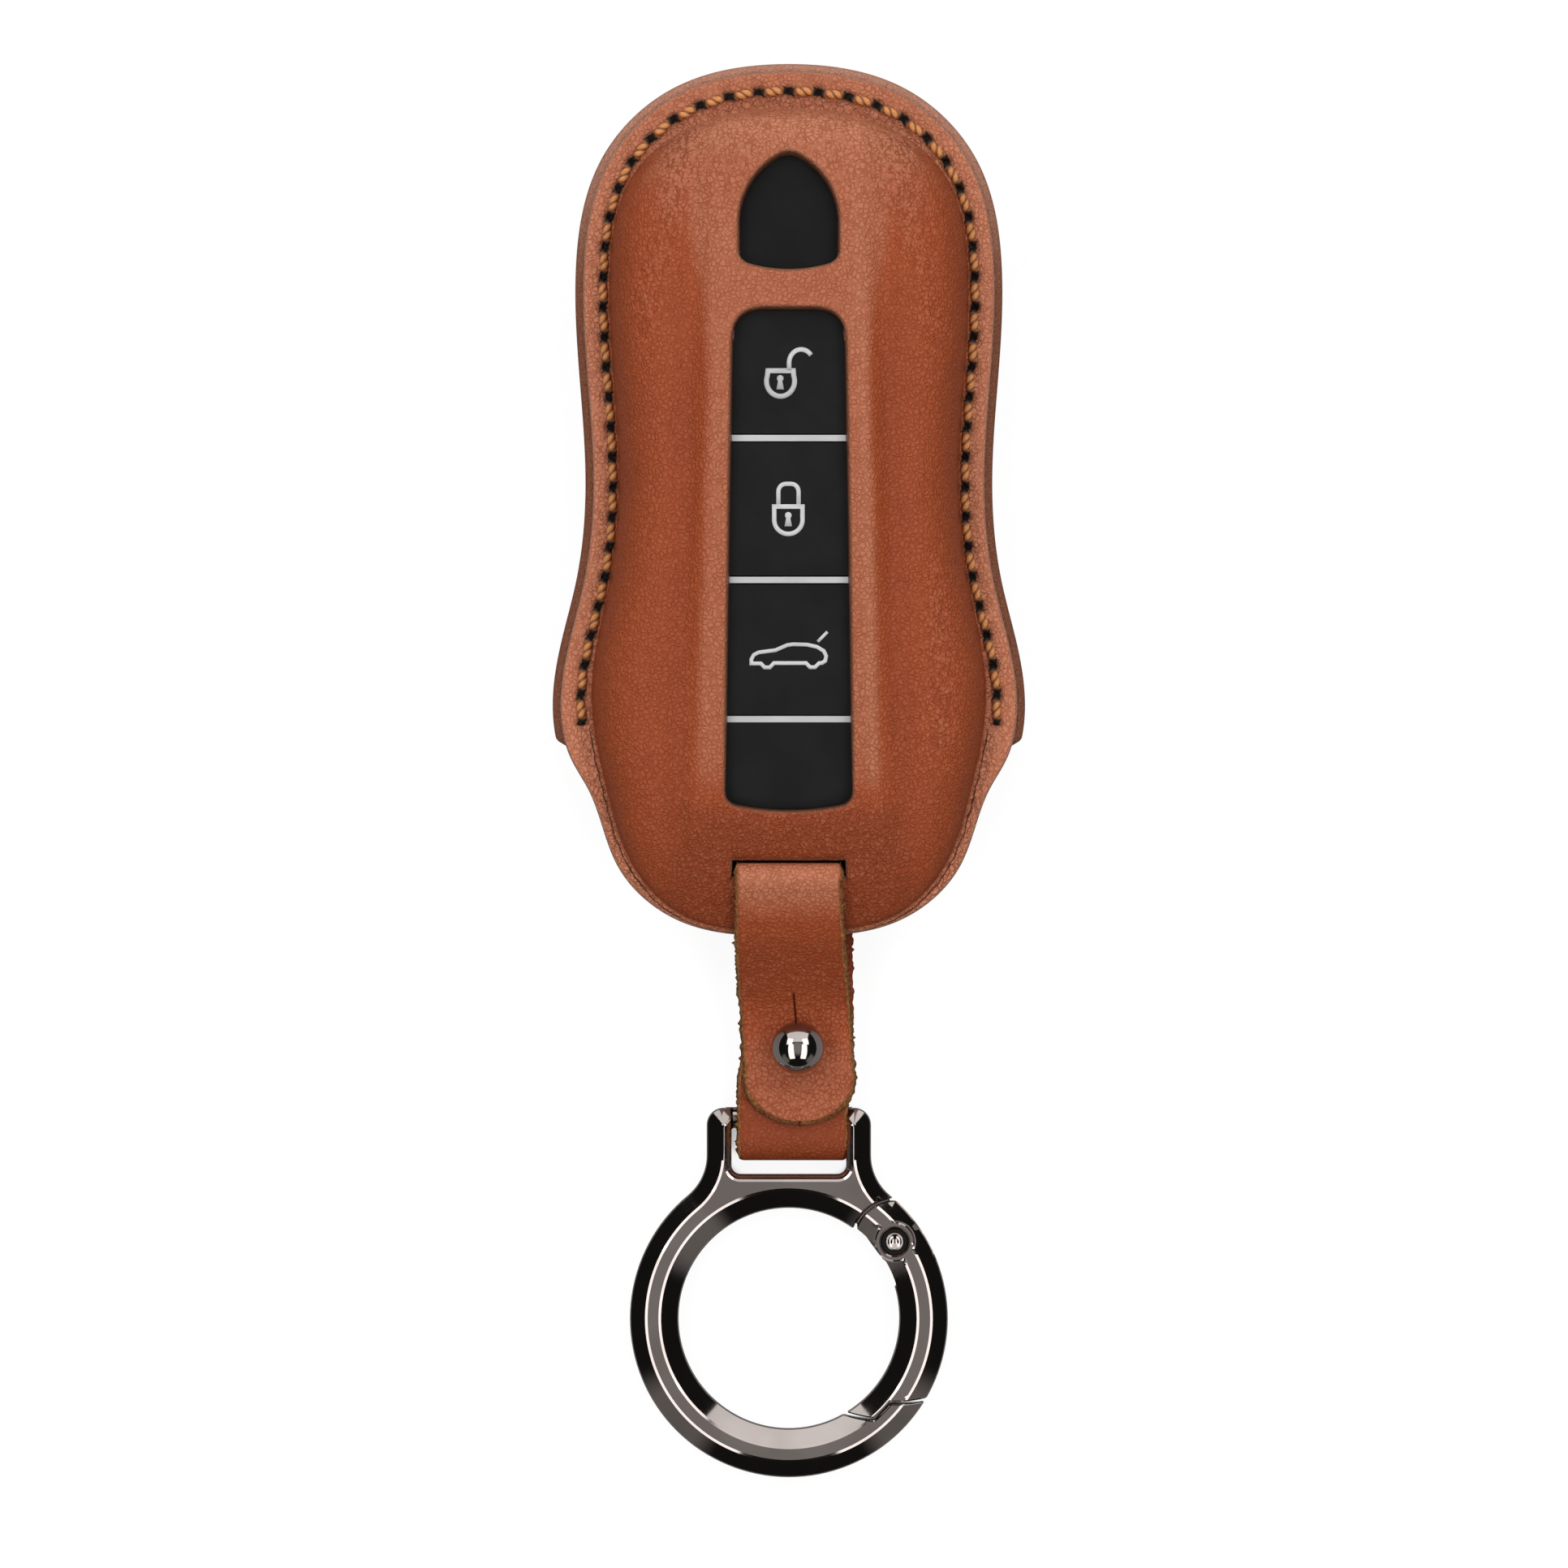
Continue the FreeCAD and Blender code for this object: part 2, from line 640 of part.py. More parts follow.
def circuit_board():
    """Board on the posts, inside the locating lip."""
    low = SEAM_LEVEL + BOARD_UNDER
    outline = cover_wire(-CAVITY - LIP_THICK - BOARD_SLACK, False)
    return prism(outline, low, low + BOARD_THICK).common(block(-REACH, REACH, BOARD_FOOT_Y, REACH, 0, REACH))


def keypad_mat():
    """Rubber mat on the board, with a hollow dome under each button."""
    low = SEAM_LEVEL + BOARD_UNDER + BOARD_THICK
    roof = SEAM_LEVEL + COLLAR_FOOT - BUTTON_SEAT - BUTTON_LIP_THICK - BUTTON_SEAT
    half = KEYPAD_WIDTH / 2
    mat = block(-half, half, KEYPAD_FOOT_Y, KEYPAD_HEAD_Y, low, low + KEYPAD_THICK)
    mat = mat.makeFillet(DOME_WALL * 2, upright_edges(mat))
    for y in BUTTON_YS:
        mat = mat.fuse(disc(DOME_RADIUS, low, roof, 0, y))
    for y in BUTTON_YS:
        mat = mat.cut(disc(DOME_RADIUS - DOME_WALL, low, low + SWITCH_HEIGHT + BUTTON_TRAVEL, 0, y))
    return mat


def dome_switches():
    """Three push switches on the board, inside the rubber domes."""
    low = SEAM_LEVEL + BOARD_UNDER + BOARD_THICK
    half = SWITCH_SIDE / 2
    switches = []
    for y in BUTTON_YS:
        base = block(-half, half, y - half, y + half, low, low + SWITCH_HEIGHT / 2)
        switches.append(base.fuse(disc(half * 0.8, low, low + SWITCH_HEIGHT, 0, y)))
    return Part.makeCompound(switches)


CELL_TOP = SEAM_LEVEL + BOARD_UNDER - CONTACT_THICK


def coin_cell():
    """Button battery under the board, with its stepped rim."""
    step = CELL_THICK / 5
    body = disc(CELL_RADIUS, CELL_TOP - CELL_THICK, CELL_TOP - step, 0, CELL_Y)
    return body.fuse(disc(CELL_RADIUS - step, CELL_TOP - CELL_THICK, CELL_TOP, 0, CELL_Y))


def battery_contact():
    """Flat contact between the battery and the board."""
    return disc(CONTACT_RADIUS, CELL_TOP, CELL_TOP + CONTACT_THICK, 0, CELL_Y)


def battery_clip():
    """Metal strip that passes under the battery and stands up to the board at both ends."""
    under = CELL_TOP - CELL_THICK
    inner = CELL_RADIUS + CLIP_FIT
    outer = inner + CLIP_THICK
    half = CLIP_WIDTH / 2
    body = block(-half, half, CELL_Y - outer, CELL_Y + outer, under - CLIP_THICK, under)
    for y0, y1 in ((CELL_Y - outer, CELL_Y - inner), (CELL_Y + inner, CELL_Y + outer)):
        body = body.fuse(block(-half, half, y0, y1, under - CLIP_THICK, SEAM_LEVEL + BOARD_UNDER))
    return body


# Strap and stud


RING_MIDDLE = RING_THICK / 2
STRAND_REACH = BAR_RADIUS + BAR_FIT + STRAP_THICK / 2
UNDER_STRAND = TABLE_GAP + SCREW_HEAD_THICK + STRAP_LAY + STRAP_THICK / 2
INNER_STRAND = UNDER_STRAND + STRAP_THICK + STRAP_LAY
OUTER_STRAND = INNER_STRAND + STRAP_THICK + COLLAR_THICK + 2 * STRAP_LAY


def strap_path():
    """Middle line of the strap in side view: place along Y, height and bend radius at each corner."""
    flat_half = COLLAR_RADIUS + STRAP_THICK / 2
    stud_foot = STUD_Y - flat_half
    stud_head = STUD_Y + flat_half
    bar_low = RING_MIDDLE - STRAND_REACH
    bar_high = RING_MIDDLE + STRAND_REACH
    fold_y = STRAP_FOLD_Y + STRAP_THICK / 2
    tip_high = bar_high + STRAP_THICK + 2 * STRAP_LAY
    ease_y = stud_foot - 2 * STRAP_THICK
    over_y = STRAP_SLOT_Y - 4 * STRAP_THICK
    over = front_height(over_y) + STRAP_THICK
    slot = front_height(STRAP_SLOT_Y) + STRAP_THICK
    return [
        (STRAP_TIP_Y, tip_high, 0),
        (ease_y, tip_high, STRAP_SOFT_BEND),
        (stud_foot, OUTER_STRAND, STRAP_SOFT_BEND),
        (stud_head, OUTER_STRAND, STRAP_SOFT_BEND),
        (over_y, over, STRAP_SOFT_BEND),
        (STRAP_SLOT_Y, slot, STRAP_BEND),
        (STRAP_SLOT_Y, UNDER_STRAND, STRAP_BEND),
        (stud_foot, UNDER_STRAND, STRAP_SOFT_BEND),
        (ease_y, bar_low, STRAP_SOFT_BEND),
        (fold_y, bar_low, STRAND_REACH),
        (fold_y, bar_high, STRAND_REACH),
        (ease_y - STRAP_THICK / 2, bar_high, STRAP_SOFT_BEND),
        (stud_foot - STRAP_THICK / 2, INNER_STRAND, STRAP_SOFT_BEND),
        (stud_head, INNER_STRAND, 0),
    ]


def path_edges(path):
    """Straight runs and tangent arcs through the corners of a path in the YZ plane."""
    points = [Vector(0, y, z) for y, z, radius in path]
    edges = []
    start = points[0]
    for index in range(1, len(points) - 1):
        corner = points[index]
        back = (points[index - 1] - corner).normalize()
        on = (points[index + 1] - corner).normalize()
        half = back.getAngle(on) / 2
        radius = path[index][2]
        trim = radius / math.tan(half)
        first = corner + back * trim
        last = corner + on * trim
        inward = (back + on).normalize()
        middle = corner + inward * (radius / math.sin(half) - radius)
        if (first - start).Length > 1e-6:
            edges.append(Part.LineSegment(start, first).toShape())
        edges.append(Part.Arc(first, middle, last).toShape())
        start = last
    edges.append(Part.LineSegment(start, points[-1]).toShape())
    return edges


def shifted_path(path, shift):
    """The same path moved to its left by shift: corners are mitred and their bends stay concentric."""
    points = [Vector(0, y, z) for y, z, radius in path]
    runs = [(two - one).normalize() for one, two in zip(points[:-1], points[1:])]
    lefts = [Vector(0, -run.z, run.y) for run in runs]
    moved = []
    for index, (y, z, radius) in enumerate(path):
        before = lefts[max(index - 1, 0)]
        after = lefts[min(index, len(lefts) - 1)]
        out = (before + after) * (shift / (1 + before.dot(after)))
        turn = 1 if before.cross(after).x > 0 else -1
        moved.append((y + out.y, z + out.z, radius - turn * shift))
    return moved


def keeper_strap():
    """One strip of leather: buttoned tab in front, through the cover, round the bar and up inside."""
    half_t = STRAP_THICK / 2
    left = path_edges(shifted_path(strap_path(), half_t))
    right = path_edges(shifted_path(strap_path(), -half_t))
    caps = []
    for one, two in ((left[0].Vertexes[0], right[0].Vertexes[0]), (left[-1].Vertexes[1], right[-1].Vertexes[1])):
        caps.append(Part.LineSegment(one.Point, two.Point).toShape())
    side = Part.Face(Part.Wire(Part.sortEdges(left + right + caps)[0]))
    body = side.extrude(ACROSS * STRAP_WIDTH)
    body.translate(ACROSS * (-STRAP_WIDTH / 2))
    tips = [edge for edge in upright_edges(body)
            if abs(edge.BoundBox.YMin - STRAP_TIP_Y) < 1e-3 and edge.BoundBox.ZMin > INNER_STRAND]
    body = body.makeFillet(STRAP_TIP_ROUND, tips)
    between = OUTER_STRAND - half_t - COLLAR_THICK / 2
    hole = NECK_RADIUS + STUD_HOLE_FIT
    slit = STUD_SLIT / 2
    body = body.cut(disc(hole, between, REACH, STUD_X, STUD_Y))
    body = body.cut(block(STUD_X - slit, STUD_X + slit, STUD_Y, STUD_SLIT_END_Y, between, REACH))
    return body.cut(disc(SHANK_RADIUS + STUD_HOLE_FIT, 0, between, STUD_X, STUD_Y))


SHANK_FOOT = UNDER_STRAND - STRAP_THICK / 2


def stud_head():
    """Ball stud: ball, neck, collar under the tab and a hollow shank through two thicknesses."""
    collar = INNER_STRAND + STRAP_THICK / 2 + STRAP_LAY
    neck_top = OUTER_STRAND + STRAP_THICK / 2 + STRAP_LAY
    ball = neck_top + math.sqrt(BALL_RADIUS ** 2 - NECK_RADIUS ** 2)
    body = disc(SHANK_RADIUS, SHANK_FOOT, collar)
    body = body.fuse(disc(COLLAR_RADIUS, collar, collar + COLLAR_THICK))
    body = body.fuse(disc(NECK_RADIUS, collar, neck_top + STRAP_LAY))
    sphere = Part.makeSphere(BALL_RADIUS, Vector(0, 0, ball))
    body = body.fuse(sphere.common(disc(BALL_RADIUS, neck_top, ball + BALL_RADIUS)))
    body = body.cut(disc(SCREW_RADIUS + SCREW_FIT, SHANK_FOOT, collar))
    body.translate(Vector(STUD_X, STUD_Y, 0))
    return body


def stud_screw():
    """Slotted screw that holds the stud from behind."""
    head = TABLE_GAP
    under = head + SCREW_HEAD_THICK
    end = INNER_STRAND + STRAP_THICK / 2
    body = disc(SCREW_HEAD_RADIUS, head, under)
    body = body.makeChamfer(SCREW_HEAD_THICK / 3, [body.Edges[2]])
    body = body.fuse(disc(SCREW_RADIUS, head, end))
    half = SCREW_SLOT_WIDTH / 2
    body = body.cut(block(-REACH, REACH, -half, half, 0, head + SCREW_SLOT_DEPTH))
    body.translate(Vector(STUD_X, STUD_Y, 0))
    return body


# Ring, gate and pin, round their own centre until they are placed


def pin_place():
    """Centre of the gate's pin from the ring's centre."""
    angle = math.radians(PIN_ANGLE)
    return Vector(PIN_CENTRE_RADIUS * math.cos(angle), PIN_CENTRE_RADIUS * math.sin(angle), 0)


def bevel_depth(width):
    """Depth of a ring bevel of a width."""
    return width * math.tan(math.radians(RING_BEVEL_SLOPE))


def bevel_rim(body, level):
    """Bevel of the whole outer rim at a level: the first edge leads those that run on from it smoothly."""
    rim = [edge for edge in body.Edges if edge.BoundBox.ZLength < 1e-4 and abs(edge.BoundBox.ZMin - level) < 1e-4]
    sides = [face for face in body.Faces if any(edge.isSame(rim[0]) for edge in face.Edges)]
    depth = bevel_depth(RING_OUTER_BEVEL)
    if sides[0].BoundBox.ZLength < 1e-4:
        return body.makeChamfer(RING_OUTER_BEVEL, depth, rim[:1])
    return body.makeChamfer(depth, RING_OUTER_BEVEL, rim[:1])


def ring_blank():
    """Whole ring with its strap eye, bevelled inside and out, before the gate is cut away."""
    half = EYE_WIDTH / 2
    body = disc(RING_OUTER, 0, RING_THICK).fuse(block(-half, half, 0, EYE_TOP, 0, RING_THICK))
    body = body.removeSplitter()
    edges = upright_edges(body)
    necks = [edge for edge in edges if edge.BoundBox.YMax < EYE_TOP - 1e-3 and edge.BoundBox.YMin > 0]
    body = body.makeFillet(EYE_NECK_ROUND, necks)
    tops = [edge for edge in upright_edges(body) if edge.BoundBox.YMin > EYE_TOP - 1e-3]
    body = body.makeFillet(EYE_CORNER, tops)
    body = bevel_rim(bevel_rim(body, 0), RING_THICK)
    depth = bevel_depth(RING_BORE_BEVEL)
    mouth = RING_BORE + 2 * RING_BORE_BEVEL
    bore = revolve([(0, -depth), (mouth, -depth), (RING_BORE, depth), (RING_BORE, RING_THICK - depth),
                    (mouth, RING_THICK + depth), (0, RING_THICK + depth)])
    body = body.cut(bore)
    half = EYE_OPENING_WIDTH / 2
    opening = block(-half, half, EYE_OPENING_FOOT, EYE_TOP + 1, 0, RING_THICK)
    corners = [edge for edge in upright_edges(opening) if edge.BoundBox.YMax < EYE_TOP]
    opening = opening.makeFillet(EYE_OPENING_ROUND, corners)
    body = body.cut(opening)
    lips = []
    for edge in body.Edges:
        box = edge.BoundBox
        flat = box.ZLength < 1e-4 and (box.ZMin < 1e-4 or box.ZMin > RING_THICK - 1e-4)
        if flat and box.YMin > EYE_OPENING_FOOT - 1e-3 and box.XMin > -half - 1e-3 and box.XMax < half + 1e-3:
            lips.append(edge)
    body = body.makeChamfer(EYE_OPENING_BEVEL, lips)
    bar = Part.makeCylinder(BAR_RADIUS, EYE_OPENING_WIDTH + BAR_RADIUS,
                            Vector(-(EYE_OPENING_WIDTH + BAR_RADIUS) / 2, BAR_CENTRE, RING_MIDDLE), ACROSS)
    return body.fuse(bar)


def gate_region(gap):
    """Upright solid over the gate: round knuckle, arc-cut end and inner hook, all swept clear of the pin."""
    pin = pin_place()
    start = math.radians(PIN_ANGLE)
    end = math.radians(GATE_END_ANGLE)
    far = 2 * RING_OUTER
    corners = [ORIGIN]
    for share in (0, 0.5, 1):
        angle = start + share * (end - start)
        corners.append(Vector(far * math.cos(angle), far * math.sin(angle), 0))
    wedge = prism(Part.makePolygon(corners + corners[:1]), -1, RING_THICK + 1)
    arm = wedge.common(disc(GATE_REACH + gap, -1, RING_THICK + 1, pin.x, pin.y))
    hook = wedge.common(disc(HOOK_REACH + gap, -1, RING_THICK + 1, pin.x, pin.y))
    hook = hook.common(disc(HOOK_STEP + gap, -1, RING_THICK + 1))
    knuckle = disc(KNUCKLE_RADIUS + gap, -1, RING_THICK + 1, pin.x, pin.y)
    return knuckle.fuse(arm).fuse(hook)


FORK_HEIGHT = TONGUE_THICK + 3 * FORK_GAP + SPRING_WIRE + SPRING_TURNS * SPRING_PITCH
FORK_LOW = RING_MIDDLE - FORK_HEIGHT / 2
TONGUE_LOW = FORK_LOW + FORK_GAP
SPRING_LOW = TONGUE_LOW + TONGUE_THICK + FORK_GAP


def pin_hole(z0, z1):
    """Running hole for the pin."""
    pin = pin_place()
    return disc(PIN_RADIUS + PIN_FIT, z0, z1, pin.x, pin.y)


def ring_frame():
    """Fixed part of the ring: strap eye, nose for the gate and the tongue that the pin goes through."""
    blank = ring_blank()
    pin = pin_place()
    body = blank.cut(gate_region(GATE_GAP))
    reach = KNUCKLE_RADIUS + GATE_GAP + TONGUE_RADIUS
    tongue = block(-TONGUE_RADIUS, TONGUE_RADIUS, 0, reach, TONGUE_LOW, TONGUE_LOW + TONGUE_THICK)
    tongue = tongue.fuse(disc(TONGUE_RADIUS, TONGUE_LOW, TONGUE_LOW + TONGUE_THICK))
    tongue.rotate(ORIGIN, UP, PIN_ANGLE)
    tongue.translate(pin)
    body = body.fuse(tongue.common(blank))
    return body.cut(pin_hole(0, RING_THICK))


def ring_gate():
    """Gate: it hangs on the pin by a fork and closes inside the nose with a hook."""
    pin = pin_place()
    boss = disc(BOSS_RADIUS, 0, RING_THICK, pin.x, pin.y)
    body = ring_blank().common(gate_region(0))
    body = body.fuse(boss)
    clear = KNUCKLE_RADIUS + GATE_GAP + FORK_GAP
    body = body.cut(disc(clear, FORK_LOW, FORK_LOW + FORK_HEIGHT, pin.x, pin.y))
    body = body.cut(pin_hole(0, RING_THICK))
    body = body.cut(disc(PIN_SINK_RADIUS, 0, PIN_SINK_DEPTH, pin.x, pin.y))
    return body.cut(disc(PIN_SINK_RADIUS, RING_THICK - PIN_SINK_DEPTH, RING_THICK, pin.x, pin.y))


def gate_pin():
    """Riveted pin with a dimpled head in each sink."""
    head_low = PIN_SINK_DEPTH - PIN_HEAD_THICK
    head_high = RING_THICK - head_low
    dimple = PIN_RADIUS / 2
    body = revolve([(0, head_low + dimple), (dimple, head_low), (PIN_HEAD_RADIUS, head_low),
                    (PIN_HEAD_RADIUS, PIN_SINK_DEPTH), (PIN_RADIUS, PIN_SINK_DEPTH),
                    (PIN_RADIUS, RING_THICK - PIN_SINK_DEPTH),
                    (PIN_HEAD_RADIUS, RING_THICK - PIN_SINK_DEPTH), (PIN_HEAD_RADIUS, head_high),
                    (dimple, head_high), (0, head_high - dimple)])
    body.translate(pin_place())
    return body


def gate_spring():
    """Torsion spring round the pin, one leg against the frame and one in the gate."""
    wire = SPRING_WIRE / 2
    steps = SPRING_TURNS * SPRING_STEPS
    start = Vector(SPRING_COIL, 0, 0)
    end = start + UP * (SPRING_TURNS * SPRING_PITCH)
    points = [start - ALONG * SPRING_LEG, start - ALONG * (SPRING_LEG / 2)]
    for step in range(steps + 1):
        turn = 2 * math.pi * step / SPRING_STEPS
        rise = SPRING_PITCH * step / SPRING_STEPS
        points.append(Vector(SPRING_COIL * math.cos(turn), SPRING_COIL * math.sin(turn), rise))
    points += [end + ALONG * (SPRING_LEG / 2), end + ALONG * SPRING_LEG]
    line = Part.BSplineCurve()
    line.interpolate(Points=points)
    profile = Part.Wire(Part.makeCircle(wire, points[0], ALONG))
    body = Part.Wire(line.toShape()).makePipeShell([profile], True, False)
    body.translate(UP * (SPRING_LOW + wire))
    body.rotate(ORIGIN, UP, PIN_ANGLE)
    body.translate(pin_place())
    return body


def placed(body):
    """Ring piece moved from its own centre to the ring's place."""
    body.translate(ALONG * RING_Y)
    return body


def main():
    """Build each piece and write it to its own file."""
    os.makedirs("parts", exist_ok=True)
    pieces = {
        "front_panel": front_panel(),
        "back_panel": back_panel(),
        "seam_stitches": seam_stitches(),
        "keeper_strap": keeper_strap(),
        "stud_head": stud_head(),
        "stud_screw": stud_screw(),
        "ring_frame": placed(ring_frame()),
        "ring_gate": placed(ring_gate()),
        "gate_pin": placed(gate_pin()),
        "gate_spring": placed(gate_spring()),
        "remote_upper_shell": remote_upper_shell(),
        "remote_lower_shell": remote_lower_shell(),
        "unlock_button": button(0),
        "lock_button": button(1),
        "boot_button": button(2),
        "strip_end_cap": strip_end_cap(),
        "divider_bars": divider_bars(),
        "keypad_mat": keypad_mat(),
        "circuit_board": circuit_board(),
        "dome_switches": dome_switches(),
        "coin_cell": coin_cell(),
        "battery_contact": battery_contact(),
        "battery_clip": battery_clip(),
    }
    for name, shape in pieces.items():
        shape.exportStep("parts/" + name + ".step")
        box = shape.BoundBox
        print(name, "solids", len(shape.Solids), "valid", shape.isValid(), "volume", round(shape.Volume, 1),
              "size", round(box.XLength, 2), round(box.YLength, 2), round(box.ZLength, 2))


main()
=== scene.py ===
# %% [markdown]
# # A leather key fob cover
# The cover is two moulded pieces of leather sewn round a car remote, with a buttoned strap that
# carries a spring-gate ring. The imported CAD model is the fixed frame: it says where every piece is.
# Here each soft piece is remade as a smooth surface, each metal piece gets rounded edges, and
# everything gets its finish. Lengths are in millimetres until a mesh is made.

# %% Load the frame
import math

import bmesh
import bpy
import numpy as np
from mathutils import Matrix, Vector


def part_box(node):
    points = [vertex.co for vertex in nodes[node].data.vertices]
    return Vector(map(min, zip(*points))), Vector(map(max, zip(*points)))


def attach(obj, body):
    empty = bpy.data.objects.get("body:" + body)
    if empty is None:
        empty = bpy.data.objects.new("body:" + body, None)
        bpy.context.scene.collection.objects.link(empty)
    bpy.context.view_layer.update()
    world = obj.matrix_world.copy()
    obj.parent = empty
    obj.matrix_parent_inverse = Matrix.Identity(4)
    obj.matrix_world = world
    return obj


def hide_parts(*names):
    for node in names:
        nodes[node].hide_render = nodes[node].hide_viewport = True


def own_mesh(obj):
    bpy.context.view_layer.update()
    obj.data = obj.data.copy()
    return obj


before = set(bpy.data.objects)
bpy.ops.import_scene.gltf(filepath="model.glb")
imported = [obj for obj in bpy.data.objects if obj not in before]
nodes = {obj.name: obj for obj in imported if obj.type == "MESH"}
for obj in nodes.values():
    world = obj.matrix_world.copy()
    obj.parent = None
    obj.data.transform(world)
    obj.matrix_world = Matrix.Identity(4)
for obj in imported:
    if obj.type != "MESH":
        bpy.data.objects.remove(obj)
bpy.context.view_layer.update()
MM = 0.001

# %% [markdown]
# ## Camera
# The photograph looks straight down on the cover. A long lens far above keeps the ring and the
# raised middle at the same scale. The picture is square, so one width sets the lens.

# %% Camera
PICTURE_WIDTH = 177.2 * MM
PICTURE_CENTRE = (-0.55 * MM, -32.4 * MM)
CAMERA_RISE, CAMERA_REACH = 2.0, 100.0
SEAM_LEVEL = 8.0
SENSOR = 36.0


def show(name, data):
    """New object that shows a camera, a lamp or a mesh."""
    made = bpy.data.objects.new(name, data)
    bpy.context.scene.collection.objects.link(made)
    return made


lens = bpy.data.cameras.new("camera")
lens.sensor_width = SENSOR
lens.lens = SENSOR * CAMERA_RISE / PICTURE_WIDTH
lens.clip_end = CAMERA_REACH
camera = show("camera", lens)
camera.location = (*PICTURE_CENTRE, SEAM_LEVEL * MM + CAMERA_RISE)
bpy.context.scene.camera = camera
bpy.context.scene.view_settings.view_transform = "Standard"
print("lens:", round(lens.lens), "mm")

# %% [markdown]
# ## Shader arithmetic
# A finish is a small sum of patterns. Writing it as a sum is easier to read than wiring nodes, so
# this class wraps a socket and lets Python's own operators add the Math nodes.


# %% Shader arithmetic
class Wire:
    """One socket of a node tree. Sums and products of wires become Math nodes."""

    def __init__(self, tree, socket=None):
        self.tree = tree
        self.socket = socket

    def node(self, kind, settings=None, links=None, out=0):
        """Any node: its settings are set first, then its inputs get values or wires."""
        made = self.tree.nodes.new(kind)
        for key, value in (settings or {}).items():
            setattr(made, key, value)
        for key, value in (links or {}).items():
            if isinstance(value, Wire):
                self.tree.links.new(value.socket, made.inputs[key])
            else:
                made.inputs[key].default_value = value
        return Wire(self.tree, made.outputs[out])

    def math(self, operation, first, second=0.0):
        return self.node("ShaderNodeMath", {"operation": operation}, {0: first, 1: second})

    def __add__(self, other):
        return self.math("ADD", self, other)

    def __mul__(self, other):
        return self.math("MULTIPLY", self, other)

    def __sub__(self, other):
        return self.math("SUBTRACT", self, other)

    def __rsub__(self, other):
        return self.math("SUBTRACT", other, self)

    __radd__, __rmul__ = __add__, __mul__

    def __abs__(self):
        return self.math("ABSOLUTE", self)

    def hypotenuse(self, other):
        """Long side over two sides that are square to each other."""
        return self.math("SQRT", self * self + other * other)

    def ease(self, low, high):
        """0 at low and 1 at high, with a smooth step between; low may be the larger."""
        ends = {1: low, 2: high, 3: 0.0, 4: 1.0} if low < high else {1: high, 2: low, 3: 1.0, 4: 0.0}
        return self.node("ShaderNodeMapRange", {"interpolation_type": "SMOOTHSTEP"}, {0: self, **ends})

    def mix(self, first, second):
        """Colour first where this wire is 0, second where it is 1."""
        ends = [part if isinstance(part, Wire) else (*part, 1.0) for part in (first, second)]
        return self.node("ShaderNodeMix", {"data_type": "RGBA"}, {0: self, 6: ends[0], 7: ends[1]}, out=2)

    def attribute(self, name):
        return self.node("ShaderNodeAttribute", {"attribute_name": name}, out="Fac")

    def spot(self, unit=MM):
        """Place on the object, in millimetres or another unit."""
        return self.node("ShaderNodeTexCoord", out="Object").scaled((1 / unit,) * 3)

    def scaled(self, factors):
        """This vector times three factors, through Vector Math."""
        return self.node("ShaderNodeVectorMath", {"operation": "MULTIPLY"}, {0: self, 1: factors})

    def split(self):
        """The three coordinates of this vector."""
        return [self.node("ShaderNodeSeparateXYZ", {}, {0: self}, out=axis) for axis in "XYZ"]

    def noise(self, scale, detail=3.0, roughness=0.6):
        """Cloudy pattern over this vector."""
        links = {"Vector": self, "Scale": scale, "Detail": detail, "Roughness": roughness}
        return self.node("ShaderNodeTexNoise", {}, links)

    def cells(self, scale):
        """Distance to the edge of a pattern of cells over this vector."""
        return self.node("ShaderNodeTexVoronoi", {"feature": "DISTANCE_TO_EDGE"}, {"Vector": self, "Scale": scale})

    def warped(self, scale, size):
        """This vector pushed about by noise of a scale, by up to a size."""
        push = self.node("ShaderNodeTexNoise", {}, {"Vector": self, "Scale": scale, "Detail": 2.0}, out="Color")
        links = {0: push, 1: (size,) * 3, 2: self}
        return self.node("ShaderNodeVectorMath", {"operation": "MULTIPLY_ADD"}, links)

    def bump(self, depth, strength=1.0):
        """Normal of a relief: this wire is its height from 0 to 1, the depth is in millimetres."""
        return self.node("ShaderNodeBump", {}, {"Height": self, "Distance": depth * MM, "Strength": strength})


def new_finish(name, constants):
    """Material with one Principled shader, its constants, and a wire to build on."""
    material = bpy.data.materials.new(name)
    material.use_nodes = True
    shader = material.node_tree.nodes["Principled BSDF"]
    for key, value in constants.items():
        shader.inputs[key].default_value = (*value, 1.0) if isinstance(value, tuple) else value
    return material, shader, Wire(material.node_tree)


def connect(shader, links):
    """Wires into the shader's own sockets."""
    for key, wire in links.items():
        wire.tree.links.new(wire.socket, shader.inputs[key])


print("shader arithmetic ready")

# %% [markdown]
# ## Light
# A polished ball shows the studio it is in. Two bright strips hang above, left and right of the
# camera, with a smaller lamp beyond each, and a large softbox leans over the head. Everything else
# is a dark tent, which keeps the room out of the metal: that is how a photographer gets black bevels
# with bright lines between them. The tent is grey overhead and has two faint openings low down
# beside the ring. Lamps and tent can't be seen by the camera, which looks through them at the white
# world outside.

# %% Lamps
STRIP_GLOW, HEAD_GLOW = 2.6, 1.35
AIM = (0.0, -0.03, 0.0)
# Place on the right, width and length in metres of the lamps that come in pairs
PAIRED_LAMPS = {"strip": ((0.57, -0.37, 1.0), 0.52, 1.45), "corner": ((0.66, 0.47, 0.85), 0.52, 0.52)}


